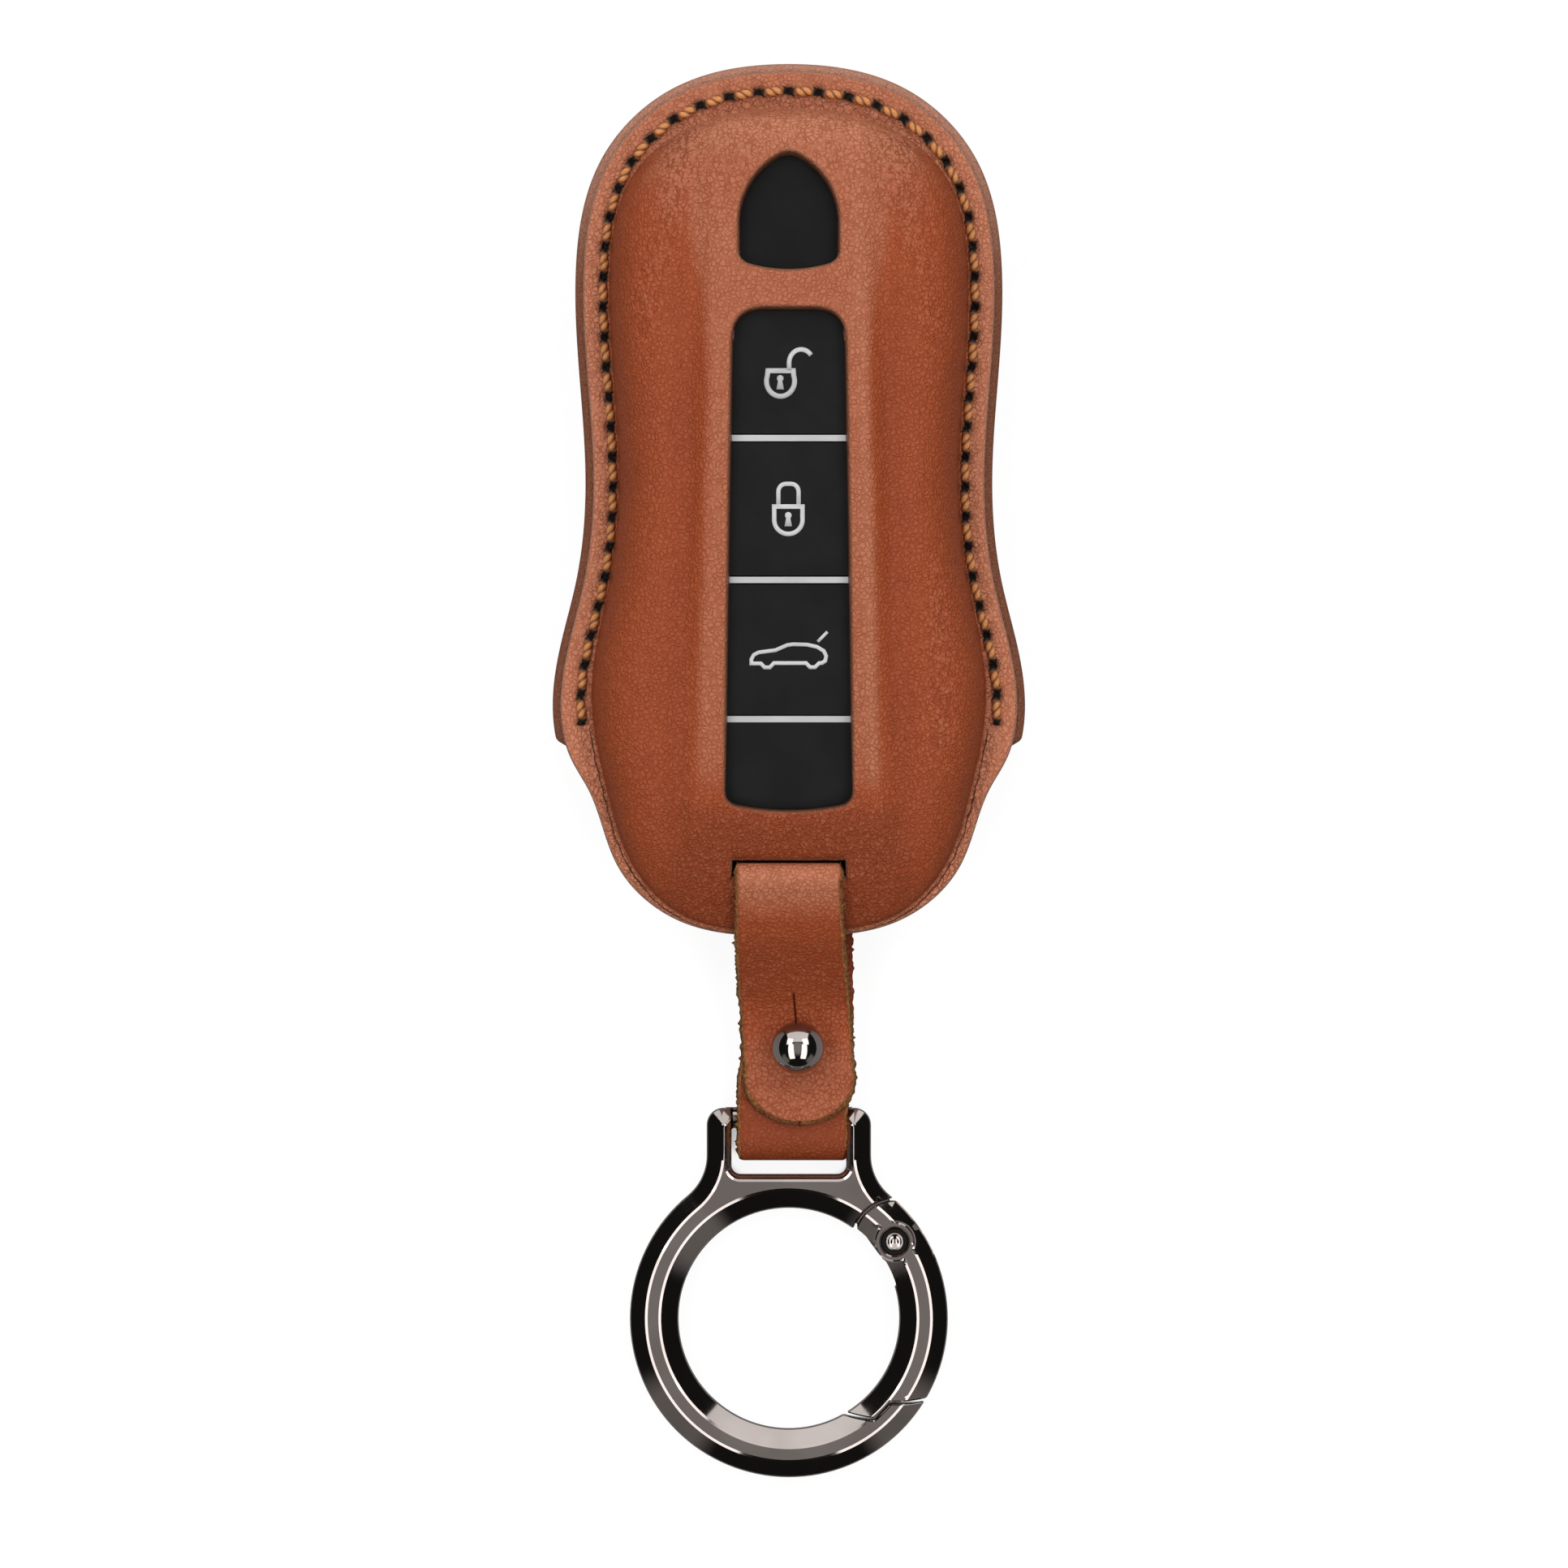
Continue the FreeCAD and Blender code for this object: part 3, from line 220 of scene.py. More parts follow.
def softbox(name, place, width, length, glow):
    """Area lamp that faces the cover, its length along the cover's. A flat lamp of radiance L and
    area A gives pi A L watts."""
    lamp = bpy.data.lights.new(name, "AREA")
    lamp.shape = "RECTANGLE"
    lamp.size, lamp.size_y = width, length
    lamp.energy = math.pi * width * length * glow
    made = show(name, lamp)
    made.location = place
    back = (Vector(place) - Vector(AIM)).normalized()
    across = Vector((0, 1, 0)).cross(back).normalized()
    made.rotation_euler = Matrix((across, back.cross(across), back)).transposed().to_euler()
    made.visible_camera = False


for kind, ((x, y, z), width, length) in PAIRED_LAMPS.items():
    for side, sign in (("left", -1), ("right", 1)):
        softbox(f"{kind}_{side}", (sign * x, y, z), width, length, STRIP_GLOW)
softbox("head_box", (0.0, 1.05, 0.62), 2.1, 1.65, HEAD_GLOW)
world = bpy.data.worlds.new("white_world")
world.use_nodes = True
world.node_tree.nodes["Background"].inputs["Color"].default_value = (1.0, 1.0, 1.0, 1.0)
bpy.context.scene.world = world
print("lamps:", len(bpy.data.lights))

# %% Tent
TENT_RADIUS, TENT_ROWS, TENT_COLUMNS = 20.0, 13, 49
# Ranges are shares of the radius
CEILING_Z = (0.78, 0.98)
OPENING_INNER_X, OPENING_OUTER_X, OPENING_Y, OPENING_Z = (0.45, 0.6), (0.92, 0.8), (-0.3, -0.45), (0.5, 0.3)
CEILING_GLOW, OPENING_GLOW, CLOTH_GLOW = 0.36, 0.22, 0.015
BLACK, WARM_WHITE = (0.0, 0.0, 0.0), (1.0, 0.97, 0.95)
STUDIO_SHADER = {"Roughness": 1.0, "Specular IOR Level": 0.0, "Emission Strength": 1.0}


def grid_faces(index, wrap=True):
    """Quads of a grid of vertex numbers, rows by columns."""
    ahead = np.roll(index, -1, 1) if wrap else index[:, 1:]
    here = index if wrap else index[:, :-1]
    return np.stack([here[:-1], ahead[:-1], ahead[1:], here[1:]], -1).reshape(-1, 4)


def numbered(points, first=0):
    """Vertex numbers of a grid of points."""
    shape = points.shape[:2]
    return first + np.arange(shape[0] * shape[1]).reshape(shape)


def studio_piece(name, points, faces, finish):
    """Mesh in metres that belongs to the studio and not to the object."""
    mesh = bpy.data.meshes.new(name)
    mesh.from_pydata(points.reshape(-1, 3).tolist(), [], faces.tolist())
    mesh.materials.append(finish)
    made = show(name, mesh)
    return made


turn = np.linspace(0, 2 * np.pi, TENT_COLUMNS)
lean = np.linspace(0, np.pi / 2, TENT_ROWS)[:, None]
half_ball = [np.sin(lean) * np.cos(turn), np.sin(lean) * np.sin(turn), np.cos(lean) + 0 * turn]
half_ball = TENT_RADIUS * np.stack(half_ball, -1)
cloth, cloth_shader, wire = new_finish("tent_cloth", {"Base Color": BLACK, **STUDIO_SHADER})
tent_x, tent_y, tent_z = wire.spot(TENT_RADIUS).split()
opening = abs(tent_x).ease(*OPENING_INNER_X) * abs(tent_x).ease(*OPENING_OUTER_X)
opening = opening * tent_y.ease(*OPENING_Y) * tent_z.ease(*OPENING_Z)
glow = tent_z.ease(*CEILING_Z) * CEILING_GLOW + opening * OPENING_GLOW + CLOTH_GLOW
connect(cloth_shader, {"Emission Color": glow.mix(BLACK, WARM_WHITE)})
tent = studio_piece("tent", half_ball, grid_faces(numbered(half_ball), False)[:, ::-1], cloth)
tent.visible_camera = False
print("tent radius:", TENT_RADIUS, "m")

# %% [markdown]
# ## Floor
# The floor is white paper. It shows white to the camera, and dimmer in reflections because the tent
# shades it there. It takes the lamps' soft shadow and goes dark where it is shut in, as in the gaps
# of the ring.

# %% Floor
FLOOR_REACH, FLOOR_DROP = 15.0, 0.02
PAPER_GREY, PAPER_WHITE = (0.14, 0.14, 0.14), (0.9, 0.9, 0.9)
MIRRORED_SHARE = 0.15
SHUT_IN, OPEN_AIR, SHADE_REACH, SHADE_SAMPLES = 0.12, 0.5, 1.5, 8

paper, paper_shader, wire = new_finish("white_floor", {"Base Color": PAPER_GREY, **STUDIO_SHADER})
seen, mirrored, through = (wire.node("ShaderNodeLightPath", out=f"Is {kind} Ray")
                           for kind in ("Camera", "Glossy", "Transmission"))
shows = wire.math("MAXIMUM", wire.math("MAXIMUM", seen, mirrored * MIRRORED_SHARE), through)
open_share = wire.node("ShaderNodeAmbientOcclusion", {"samples": SHADE_SAMPLES},
                       {"Distance": SHADE_REACH * MM}, out="AO")
lit = shows * open_share.ease(SHUT_IN, OPEN_AIR)
connect(paper_shader, {"Emission Color": lit.mix(BLACK, PAPER_WHITE)})
floor_corners = np.array([(-1, -1, 0), (1, -1, 0), (1, 1, 0), (-1, 1, 0)]) * FLOOR_REACH
floor = studio_piece("floor", floor_corners, np.array([[0, 1, 2, 3]]), paper)
floor.location.z = -FLOOR_DROP * MM
print("floor:", 2 * FLOOR_REACH, "m wide")

# %% [markdown]
# ## The cover's outline
# Both leather pieces follow one outline: a crease where the moulded bulge meets the flat seam, and
# the seam's edge outside it. Each is a smooth closed curve through a few measured points, so a
# column of the surface can run from one curve to the other at the same parameter.

# %% Outline curves
LEATHER = 1.6
# Half outline from the foot to the head: half width, Y and seam width
HALF_OUTLINE = np.array([
    (0.0, -49.0, 0.6), (6.5, -48.75, 0.6), (11.6, -47.4, 0.75), (17.9, -41.0, 1.6), (20.65, -32.5, 2.1),
    (21.45, -29.0, 3.2), (22.2, -21.5, 3.5), (20.34, -10.25, 2.9), (19.2, 1.0, 2.9), (20.2, 25.5, 3.0),
    (17.6, 36.3, 3.2), (11.4, 41.6, 4.0), (0.0, 43.8, 4.3)])
LEFT, UNSEWN = (-1, 1), -0.5


def unit(vectors):
    """Vectors with the length one."""
    return vectors / np.linalg.norm(vectors, axis=-1, keepdims=True)


def closed_spline(points):
    """Closed cubic spline: h is each chord, m the second derivative, found from the cyclic system
    h[i-1] m[i-1] + 2 (h[i-1] + h[i]) m[i] + h[i] m[i+1] = 6 (slope[i] - slope[i-1]).
    Returns the curve as a function whose parameter grows by one per point, and its slopes there."""
    count = len(points)
    ahead = np.roll(points, -1, 0)
    chord = np.linalg.norm(ahead - points, axis=1)
    before = np.roll(chord, 1)
    slope = (ahead - points) / chord[:, None]
    system = np.diag(2 * (chord + before))
    index = np.arange(count)
    system[index, (index + 1) % count] += chord
    system[index, index - 1] += before
    bend = np.linalg.solve(system, 6 * (slope - np.roll(slope, 1, 0)))
    next_bend = np.roll(bend, -1, 0)
    slopes = slope - chord[:, None] / 6 * (2 * bend + next_bend)

    def at(parameter):
        whole = np.floor(parameter).astype(int)
        share = (parameter - whole)[:, None]
        one = whole % count
        rest = 1 - share
        cubic = (rest ** 3 - rest) * bend[one] + (share ** 3 - share) * next_bend[one]
        return rest * points[one] + share * ahead[one] + chord[one][:, None] ** 2 / 6 * cubic

    return at, slopes


outline = np.vstack([HALF_OUTLINE, HALF_OUTLINE[-2:0:-1] * (*LEFT, 1)])
crease_at, slopes = closed_spline(outline[:, :2])
outward = unit(np.stack([slopes[:, 1], -slopes[:, 0]], 1))


def seam_curve(grow):
    """The seam's edge, moved outwards by grow."""
    points = outline[:, :2] + outward * (outline[:, 2:] + grow)
    points[[0, len(HALF_OUTLINE) - 1], 0] = 0
    return closed_spline(points)[0]


print("outline points:", len(outline))

# %% Columns of the panels
STITCH_INSET, STITCH_END_Y, STITCH_COUNT = 2.25, -25.7, 50
COLUMNS_PER_STITCH, FOOT_COLUMNS = 12, 100
SEWN_COLUMNS = STITCH_COUNT * COLUMNS_PER_STITCH
COLUMNS = 2 * FOOT_COLUMNS + SEWN_COLUMNS
LINE_STEPS = 6001


def run_length(points):
    """Distance along a line of points, from its start."""
    return np.concatenate([[0], np.cumsum(np.linalg.norm(np.diff(points, axis=0), axis=1))])


stations = np.linspace(0, len(outline), LINE_STEPS)
stitch_line = seam_curve(-STITCH_INSET)(stations)
length = run_length(stitch_line)
sewn_from = length[np.argmax(stitch_line[:, 1] > STITCH_END_Y)]
sewn_to = length[-1] - sewn_from
column_length = np.concatenate([
    np.linspace(0, sewn_from, FOOT_COLUMNS, endpoint=False),
    np.linspace(sewn_from, sewn_to, SEWN_COLUMNS, endpoint=False),
    np.linspace(sewn_to, length[-1], FOOT_COLUMNS, endpoint=False)])
column = np.interp(column_length, length, stations)
stitch = (np.arange(COLUMNS) - FOOT_COLUMNS) / COLUMNS_PER_STITCH
stitch = np.where(stitch < 0, UNSEWN, np.where(stitch > STITCH_COUNT, STITCH_COUNT - UNSEWN, stitch))
pitch = (sewn_to - sewn_from) / STITCH_COUNT
crease = crease_at(column)
edge = seam_curve(0)(column)
flange_width = np.linalg.norm(edge - crease, axis=1)
print("columns:", COLUMNS, "stitch pitch:", round(pitch, 2), "mm")

# %% [markdown]
# ## Windows
# The front has two windows: a pointed arch at the head and a long one over the buttons, with a
# narrow bridge of leather between them. One closed line runs round both, and the bridge is a small
# patch of its own, so every edge of a window is an edge of the grid and stays clean.

# %% Window lines
WINDOW_TOP, WINDOW_FOOT, WINDOW_SAG = 21.2, -35.5, 0.9
SIDE_POINTS = np.array([(7.2, -34.6), (6.85, -6.95), (6.35, 21.2)])
CORNER_ROUND, CORNER_STEPS, HEAD_ROUND = 1.4, 12, 3.7
ARCH_HALF, ARCH_SPRING, ARCH_APEX, ARCH_FOOT, ARCH_SAG = 5.65, 30.8, 39.0, 25.5, 1.0
ARCH_ROUND = 1.3
TIP_POINTS = 5


def rounded(before, corner, after, steps=CORNER_STEPS):
    """Corner as a parabola from one point to the next: (1-t)^2 a + 2 t (1-t) b + t^2 c."""
    t = np.linspace(0, 1, steps)[:, None]
    return (1 - t) ** 2 * np.array(before) + 2 * t * (1 - t) * np.array(corner) + t ** 2 * np.array(after)


def side_x(y):
    """Bowed side of the button window: the parabola through three points."""
    return np.polyval(np.polyfit(SIDE_POINTS[:, 1], SIDE_POINTS[:, 0], 2), y)


corner_y = WINDOW_FOOT + WINDOW_SAG
corner_x = side_x(corner_y)
corner_top = corner_y + CORNER_ROUND
sag_x = np.linspace(0, corner_x - CORNER_ROUND, 30)
sag = np.stack([sag_x, WINDOW_FOOT + WINDOW_SAG * (sag_x / corner_x) ** 2], 1)
foot_corner = rounded(sag[-1], (corner_x, corner_y), (side_x(corner_top), corner_top))
side_y = np.linspace(corner_top, WINDOW_TOP - HEAD_ROUND, 60)
window_side = np.stack([side_x(side_y), side_y], 1)
bridge_foot = window_side[-1]
bridge_top = np.array([ARCH_HALF, ARCH_FOOT + ARCH_SAG + ARCH_ROUND])
rise = ARCH_APEX - ARCH_SPRING
arch_radius = (ARCH_HALF ** 2 + rise ** 2) / (2 * ARCH_HALF)
turn = np.linspace(0, math.atan2(rise, arch_radius - ARCH_HALF), 40)
lancet = arch_radius * np.stack([np.cos(turn), np.sin(turn)], 1) + (ARCH_HALF - arch_radius, ARCH_SPRING)
near_tip = lancet[-TIP_POINTS]
round_tip = rounded(near_tip, lancet[-1], near_tip * LEFT, 2 * TIP_POINTS + 1)[:TIP_POINTS + 1]
lancet = np.vstack([lancet[:-TIP_POINTS], round_tip])
print("arch radius:", round(arch_radius, 2), "mm")

# %% Window columns
# The seam's edge at the columns where the window's corner, bridge, arch side and arch begin
CORNER_EDGE_X, BRIDGE_EDGE_Y, ARCH_EDGE_Y, SPRING_EDGE_Y = 13.3, 22.0, 29.5, 38.5
HALF_COLUMNS = COLUMNS // 2
HALF_CORNER = CORNER_STEPS // 2


def spread(points, count, law=None):
    """count + 1 points along a line of points, evenly by length or by a law of shares."""
    share = np.linspace(0, 1, count + 1) if law is None else law
    length = run_length(points)
    return np.stack([np.interp(share * length[-1], length, points[:, axis]) for axis in (0, 1)], 1)


right_x, right_y = edge[:HALF_COLUMNS + 1].T
corner_column, bridge_column, arch_column, spring_column = (int(np.argmax(past)) for past in (
    right_x > CORNER_EDGE_X, right_y > BRIDGE_EDGE_Y, right_y > ARCH_EDGE_Y, right_y > SPRING_EDGE_Y))
bridge_rows = arch_column - bridge_column
# Shares that crowd towards both ends: (1 - cos(pi t)) / 2
bridge_law = (1 - np.cos(np.pi * np.linspace(0, 1, bridge_rows + 1))) / 2
runs = [
    spread(np.vstack([sag, foot_corner[1:HALF_CORNER + 1]]), corner_column),
    spread(np.vstack([foot_corner[HALF_CORNER:], window_side[1:]]), bridge_column - corner_column),
    spread(np.array([bridge_foot, bridge_top]), bridge_rows, bridge_law),
    spread(np.array([bridge_top, (ARCH_HALF, ARCH_SPRING)]), spring_column - arch_column),
    spread(lancet, HALF_COLUMNS - spring_column),
]
half_window = np.vstack([runs[0]] + [run[1:] for run in runs[1:]])
window = np.vstack([half_window, half_window[-2:0:-1] * LEFT])

head_x = side_x(WINDOW_TOP)
head_corner = rounded(bridge_foot, (head_x, WINDOW_TOP), (head_x - HEAD_ROUND, WINDOW_TOP), 20)
bridge_low = np.vstack([head_corner * LEFT, head_corner[::-1]])
foot_x = np.linspace(ARCH_HALF - ARCH_ROUND, 0, 20)
arch_foot = np.stack([foot_x, ARCH_FOOT + ARCH_SAG * (foot_x / ARCH_HALF) ** 2], 1)
arch_corner = rounded(bridge_top, (ARCH_HALF, ARCH_FOOT + ARCH_SAG), arch_foot[0])
arch_low = np.vstack([arch_corner, arch_foot[1:]])
bridge_high = np.vstack([arch_low * LEFT, arch_low[-2::-1]])
button_outline = np.vstack([half_window[bridge_column::-1] * LEFT, half_window[1:bridge_column + 1],
                            bridge_low[::-1]])
arch_outline = np.vstack([half_window[arch_column:], half_window[-2:arch_column - 1:-1] * LEFT, bridge_high])
print("bridge rows:", bridge_rows, "window points:", len(window))

# %% [markdown]
# ## Front leather
# The front is pressed over the remote: it leaves the seam almost upright, turns over a soft
# shoulder, dips into a shallow valley and steps up to a flat middle round the windows. The height is
# one formula of the distance to the crease and of the place, and the grid lies on it. The under side
# is the same formula inset by the leather's thickness, so the piece is a closed skin.

# %% Front leather heights
FLANGE_TOP, FLANGE_LOW = SEAM_LEVEL + LEATHER, SEAM_LEVEL - LEATHER
CREASE_FILLET = 0.3
SHOULDER_ROUND, SHOULDER_POWER = 7.2, 2.3
CROWN_Y = 4.0
FRONT_CROWN, FRONT_ARCH, FOOT_ARCH, FOOT_ARCH_Y = 18.6, 330.0, 60.0, -28.0
MIDDLE_CROWN, MIDDLE_ARCH = 19.8, 220.0
MIDDLE_ENDS_Y, MIDDLE_HALF_WIDTHS = [-38.0, 39.0], [10.4, 8.3]
MIDDLE_FOOT_Y, MIDDLE_HEAD_Y, LEAST_LIFT = (-41.5, -36.0), (43.5, 39.0), 0.35
SKIN_STEP, LINING_STEP = (-2.3, 0.5), (-2.7, 1.2)
VALLEY_DEPTH, VALLEY_OUT, VALLEY_REACH = 0.45, 2.3, 1.5
VALLEY_FOOT_Y, VALLEY_HEAD_Y, VALLEY_START = (-44.0, -34.0), (41.0, 30.0), (1.5, 5.0)
WINDOW_EDGE_ROUND = 0.4


def ramp(value, low, high):
    """Smooth step 3 t^2 - 2 t^3 from low to high; low may be the larger."""
    t = np.clip((value - low) / (high - low), 0, 1)
    return t * t * (3 - 2 * t)


def bell(distance, width):
    """Bell curve exp(-(distance / width)^2)."""
    return np.exp(-(distance / width) ** 2)


def arch(y, crown, radius):
    """Side view of a round arch whose crown is at CROWN_Y: crown - r + sqrt(r^2 - dy^2)."""
    return crown - (radius - np.sqrt(radius ** 2 - (y - CROWN_Y) ** 2))


def quarter_drop(gap, radius):
    """Drop of a quarter round next to an edge: r - sqrt(r^2 - (r - gap)^2), none past the radius."""
    return radius * (1 - np.sqrt(1 - np.clip(1 - gap / radius, 0, 1) ** 2))


def shoulder(gap, size):
    """Rounded shoulder: (1 - (1 - gap/size)^p)^(1/p), from 0 at the crease to 1."""
    rest = 1 - np.clip(gap / size, 0, 1)
    return (1 - rest ** SHOULDER_POWER) ** (1 / SHOULDER_POWER)


def front_top(y):
    """Side view of the bulge: a flat arch that turns into a tighter one at the foot."""
    slope = math.asin((CROWN_Y - FOOT_ARCH_Y) / FRONT_ARCH)
    hub_y = FOOT_ARCH_Y + FOOT_ARCH * math.sin(slope)
    hub_z = arch(FOOT_ARCH_Y, FRONT_CROWN, FRONT_ARCH) - FOOT_ARCH * math.cos(slope)
    lower = hub_z + np.sqrt(np.maximum(FOOT_ARCH ** 2 - (hub_y - y) ** 2, 0))
    return np.where(y > FOOT_ARCH_Y, arch(y, FRONT_CROWN, FRONT_ARCH), lower)


def beside_middle(points):
    """Distance outwards from the side of the flat middle, which narrows towards the head."""
    return np.abs(points[..., 0]) - np.interp(points[..., 1], MIDDLE_ENDS_Y, MIDDLE_HALF_WIDTHS)


def front_crown(points, step):
    """Height of the front away from its shoulder, and the depth of the valley beside the middle."""
    y = points[..., 1]
    beside = beside_middle(points)
    inside = ramp(-beside, *step) * ramp(y, *MIDDLE_HEAD_Y) * ramp(y, *MIDDLE_FOOT_Y)
    lift = np.maximum(arch(y, MIDDLE_CROWN, MIDDLE_ARCH) - front_top(y), LEAST_LIFT)
    hollow = bell(beside - VALLEY_OUT, VALLEY_REACH)
    valley = VALLEY_DEPTH * hollow * ramp(y, *VALLEY_FOOT_Y) * ramp(y, *VALLEY_HEAD_Y)
    return front_top(y) + lift * inside, valley


def front_skin(points, crease_gap, opening_gap):
    """Top of the bulge: the crown times the shoulder, turned down at the edge of an opening."""
    crown, valley = front_crown(points, SKIN_STEP)
    crown = crown - valley * ramp(crease_gap, *VALLEY_START)
    low = FLANGE_TOP + CREASE_FILLET
    bulge = low + (crown - low) * shoulder(crease_gap, SHOULDER_ROUND)
    return bulge - quarter_drop(opening_gap, WINDOW_EDGE_ROUND)


def front_lining(points, crease_gap):
    """Under side of the bulge: the same form inset by the leather."""
    crown = front_crown(points, LINING_STEP)[0] - LEATHER
    return SEAM_LEVEL + (crown - SEAM_LEVEL) * shoulder(crease_gap - LEATHER, SHOULDER_ROUND - LEATHER)


print("crown of the middle:", MIDDLE_CROWN, "mm")

# %% [markdown]
# The grid's rows run from the seam's edge over the crease to the window. Near the foot two rows are
# pulled straight, because the slot for the strap is left open between them.

# %% Rows of a panel
# A slot is its half width, lower and upper Y
FRONT_SLOT, BACK_SLOT = (6.4, -42.85, -41.0), (5.85, -42.5, -41.3)
SLOT_COLUMNS, SLOT_EASE = 26, 40
SEGMENT_BATCH = 2000


def gap_to(points, line):
    """Shortest distance from each point to a closed line of segments."""
    run = np.roll(line, -1, 0) - line
    size = np.maximum((run ** 2).sum(1), 1e-12)
    flat = points.reshape(-1, 2)
    found = []
    for piece in np.array_split(flat, max(len(flat) // SEGMENT_BATCH, 1)):
        away = piece[:, None] - line[None]
        share = np.clip((away * run).sum(2) / size, 0, 1)
        found.append(np.sqrt(((away - share[..., None] * run) ** 2).sum(2).min(1)))
    return np.concatenate(found).reshape(points.shape[:-1])


def between(one, two, shares):
    """Rows at shares of the way from one curve to another."""
    return one[None] + (two - one)[None] * np.asarray(shares)[:, None, None]


def raised(points, z):
    """Points of a plan with their heights, as a plain list."""
    return np.concatenate([points, z[..., None]], -1).reshape(-1, 3)


def slot_rows(outer, inner, slot):
    """The two rows that bound the strap's slot: straight lines at the foot that ease into shares of
    the way from the outer curve to the inner one."""
    index = np.arange(len(outer))
    sign = np.where(index <= len(outer) // 2, 1, -1)
    index = np.minimum(index, len(outer) - index)
    eased = ramp(index, SLOT_COLUMNS, SLOT_COLUMNS + SLOT_EASE)[:, None]
    rows = []
    for y in slot[1:]:
        share = (y - outer[0, 1]) / (inner[0, 1] - outer[0, 1])
        straight = np.stack([sign * slot[0] / SLOT_COLUMNS * index, np.full(len(outer), y)], 1)
        rows.append(straight * (1 - eased) + (outer + (inner - outer) * share) * eased)
    return rows


def round_slot(index, low_row, high_row):
    """Quads of a panel's grid without those of the slot, which stays open."""
    faces = grid_faces(index).reshape(index.shape[0] - 1, -1, 4)
    keep = np.ones(faces.shape[:2], bool)
    keep[low_row:high_row, :SLOT_COLUMNS] = False
    keep[low_row:high_row, -SLOT_COLUMNS:] = False
    return faces[keep]


def slot_walls(top, under, low_row, high_row):
    """Quads between the upper and lower grid round the slot's border."""
    across = np.arange(-SLOT_COLUMNS, SLOT_COLUMNS + 1)
    up = np.arange(low_row, high_row + 1)
    border = [(high_row + 0 * across, across), (up[::-1], SLOT_COLUMNS + 0 * up),
              (low_row + 0 * across, across[::-1]), (up, -SLOT_COLUMNS + 0 * up)]
    return np.concatenate([grid_faces(np.stack([under[place], top[place]]), False)[:, ::-1] for place in border])


def slot_outline(slot):
    """Corners of a slot."""
    half, low, high = slot
    return np.array([(-half, low), (half, low), (half, high), (-half, high)])


print("slot:", 2 * FRONT_SLOT[0], "by", round(FRONT_SLOT[2] - FRONT_SLOT[1], 2), "mm")

# %% Making a piece
COVER = "cover"
JOIN_GAP, SPLINTER = 1e-7, 1e-8


def settle(mesh, name, body, replaced):
    """Smooth mesh as a piece that rides on a body and may stand for CAD nodes."""
    mesh.polygons.foreach_set("use_smooth", np.ones(len(mesh.polygons), bool))
    mesh.update()
    piece = show(name, mesh)
    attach(piece, body)
    if replaced:
        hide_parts(*replaced)
    print(name, len(mesh.vertices), "points", len(mesh.polygons), "faces")
    return piece


def add_piece(name, points, faces, materials, body, replaced=(), attributes=None, face_material=None):
    """Piece from points in millimetres and faces, with its attributes. Doubles are merged, which
    closes seams and poles."""
    mesh = bpy.data.meshes.new(name)
    mesh.from_pydata((np.asarray(points) * MM).tolist(), [], np.asarray(faces).tolist())
    for material in materials:
        mesh.materials.append(material)
    if face_material is not None:
        mesh.polygons.foreach_set("material_index", np.asarray(face_material, np.int32))
    for key, values in (attributes or {}).items():
        layer = mesh.attributes.new(key, "FLOAT", "POINT")
        layer.data.foreach_set("value", np.asarray(values, np.float32))
    form = bmesh.new()
    form.from_mesh(mesh)
    bmesh.ops.remove_doubles(form, verts=form.verts, dist=JOIN_GAP)
    bmesh.ops.dissolve_degenerate(form, edges=form.edges, dist=SPLINTER)
    form.to_mesh(mesh)
    form.free()
    return settle(mesh, name, body, replaced)


# %% [markdown]
# ## Leather finish
# Smooth calf leather: a fine grain of small cells, faint clouds in the dye, painted shade in the
# crease and in the needle holes, and dark dye along cut edges. Where it lies flat under the lamps it
# is painted pale as a sheen, and where it is drawn over the remote's corners the grain opens into
# small wrinkles with painted highlights on their tips. Attributes of the mesh say how much painted
# light a point has, how wrinkled it is, and how far it is from the crease, the stitch line, the
# edge and the openings.

# %% Leather dye
# Cognac in four tones: the deep one is painted shade and the dye's darker clouds, the pale one a painted sheen and
# the paler clouds, the bright one a painted highlight.
COGNAC = (0.335, 0.065, 0.0175)
COGNAC_DEEP_AND_SHADE = (0.24, 0.042, 0.0098)
COGNAC_PALE_AND_SHEEN = (0.44, 0.15, 0.077)
COGNAC_HIGHLIGHT = (0.62, 0.235, 0.13)
# Near-black brown for real cracks, and for painted shade round the needle holes and a painted shadow under the
# strap's tab.
CRACK_AND_SHADOW_DARK = (0.075, 0.024, 0.011)
LEATHER_GLOSS = 0.22


def leather_grain(spot):
    """Relief of the grain: cells of about half a millimetre, pores over them and soft folds."""
    cells = spot.warped(1.3, 0.6).cells(1.8).ease(0.0, 0.22)
    return cells * 0.45 + spot.noise(3.2) * 0.5 + spot.noise(0.9, roughness=0.5) * 0.8


def colour_with_painted_light(tone, grain, wrinkle):
    """Colour of a tone from -1 for painted shade through 1 for a painted sheen to 2 for a painted
    highlight; the tone may carry the dye's clouds too. Painted shade in the grain's pits, painted
    highlights on the wrinkles' tips.
    """
    colour = tone.ease(-1.0, 0.0).mix(COGNAC_DEEP_AND_SHADE, COGNAC)
    colour = tone.ease(0.0, 1.1).mix(colour, COGNAC_PALE_AND_SHEEN)
    colour = tone.ease(1.0, 2.0).mix(colour, COGNAC_HIGHLIGHT)
    # Painted shade in the grain's pits and painted highlights on its tips, stronger where it is wrinkled.
    colour = (grain.ease(1.0, 0.6) * (wrinkle * 0.35 + 0.4)).mix(colour, COGNAC_DEEP_AND_SHADE)
    return (grain.ease(0.9, 1.35) * (wrinkle * 0.28 + 0.1)).mix(colour, COGNAC_PALE_AND_SHEEN)


print("dyes:", COGNAC_DEEP_AND_SHADE, "to", COGNAC_HIGHLIGHT)

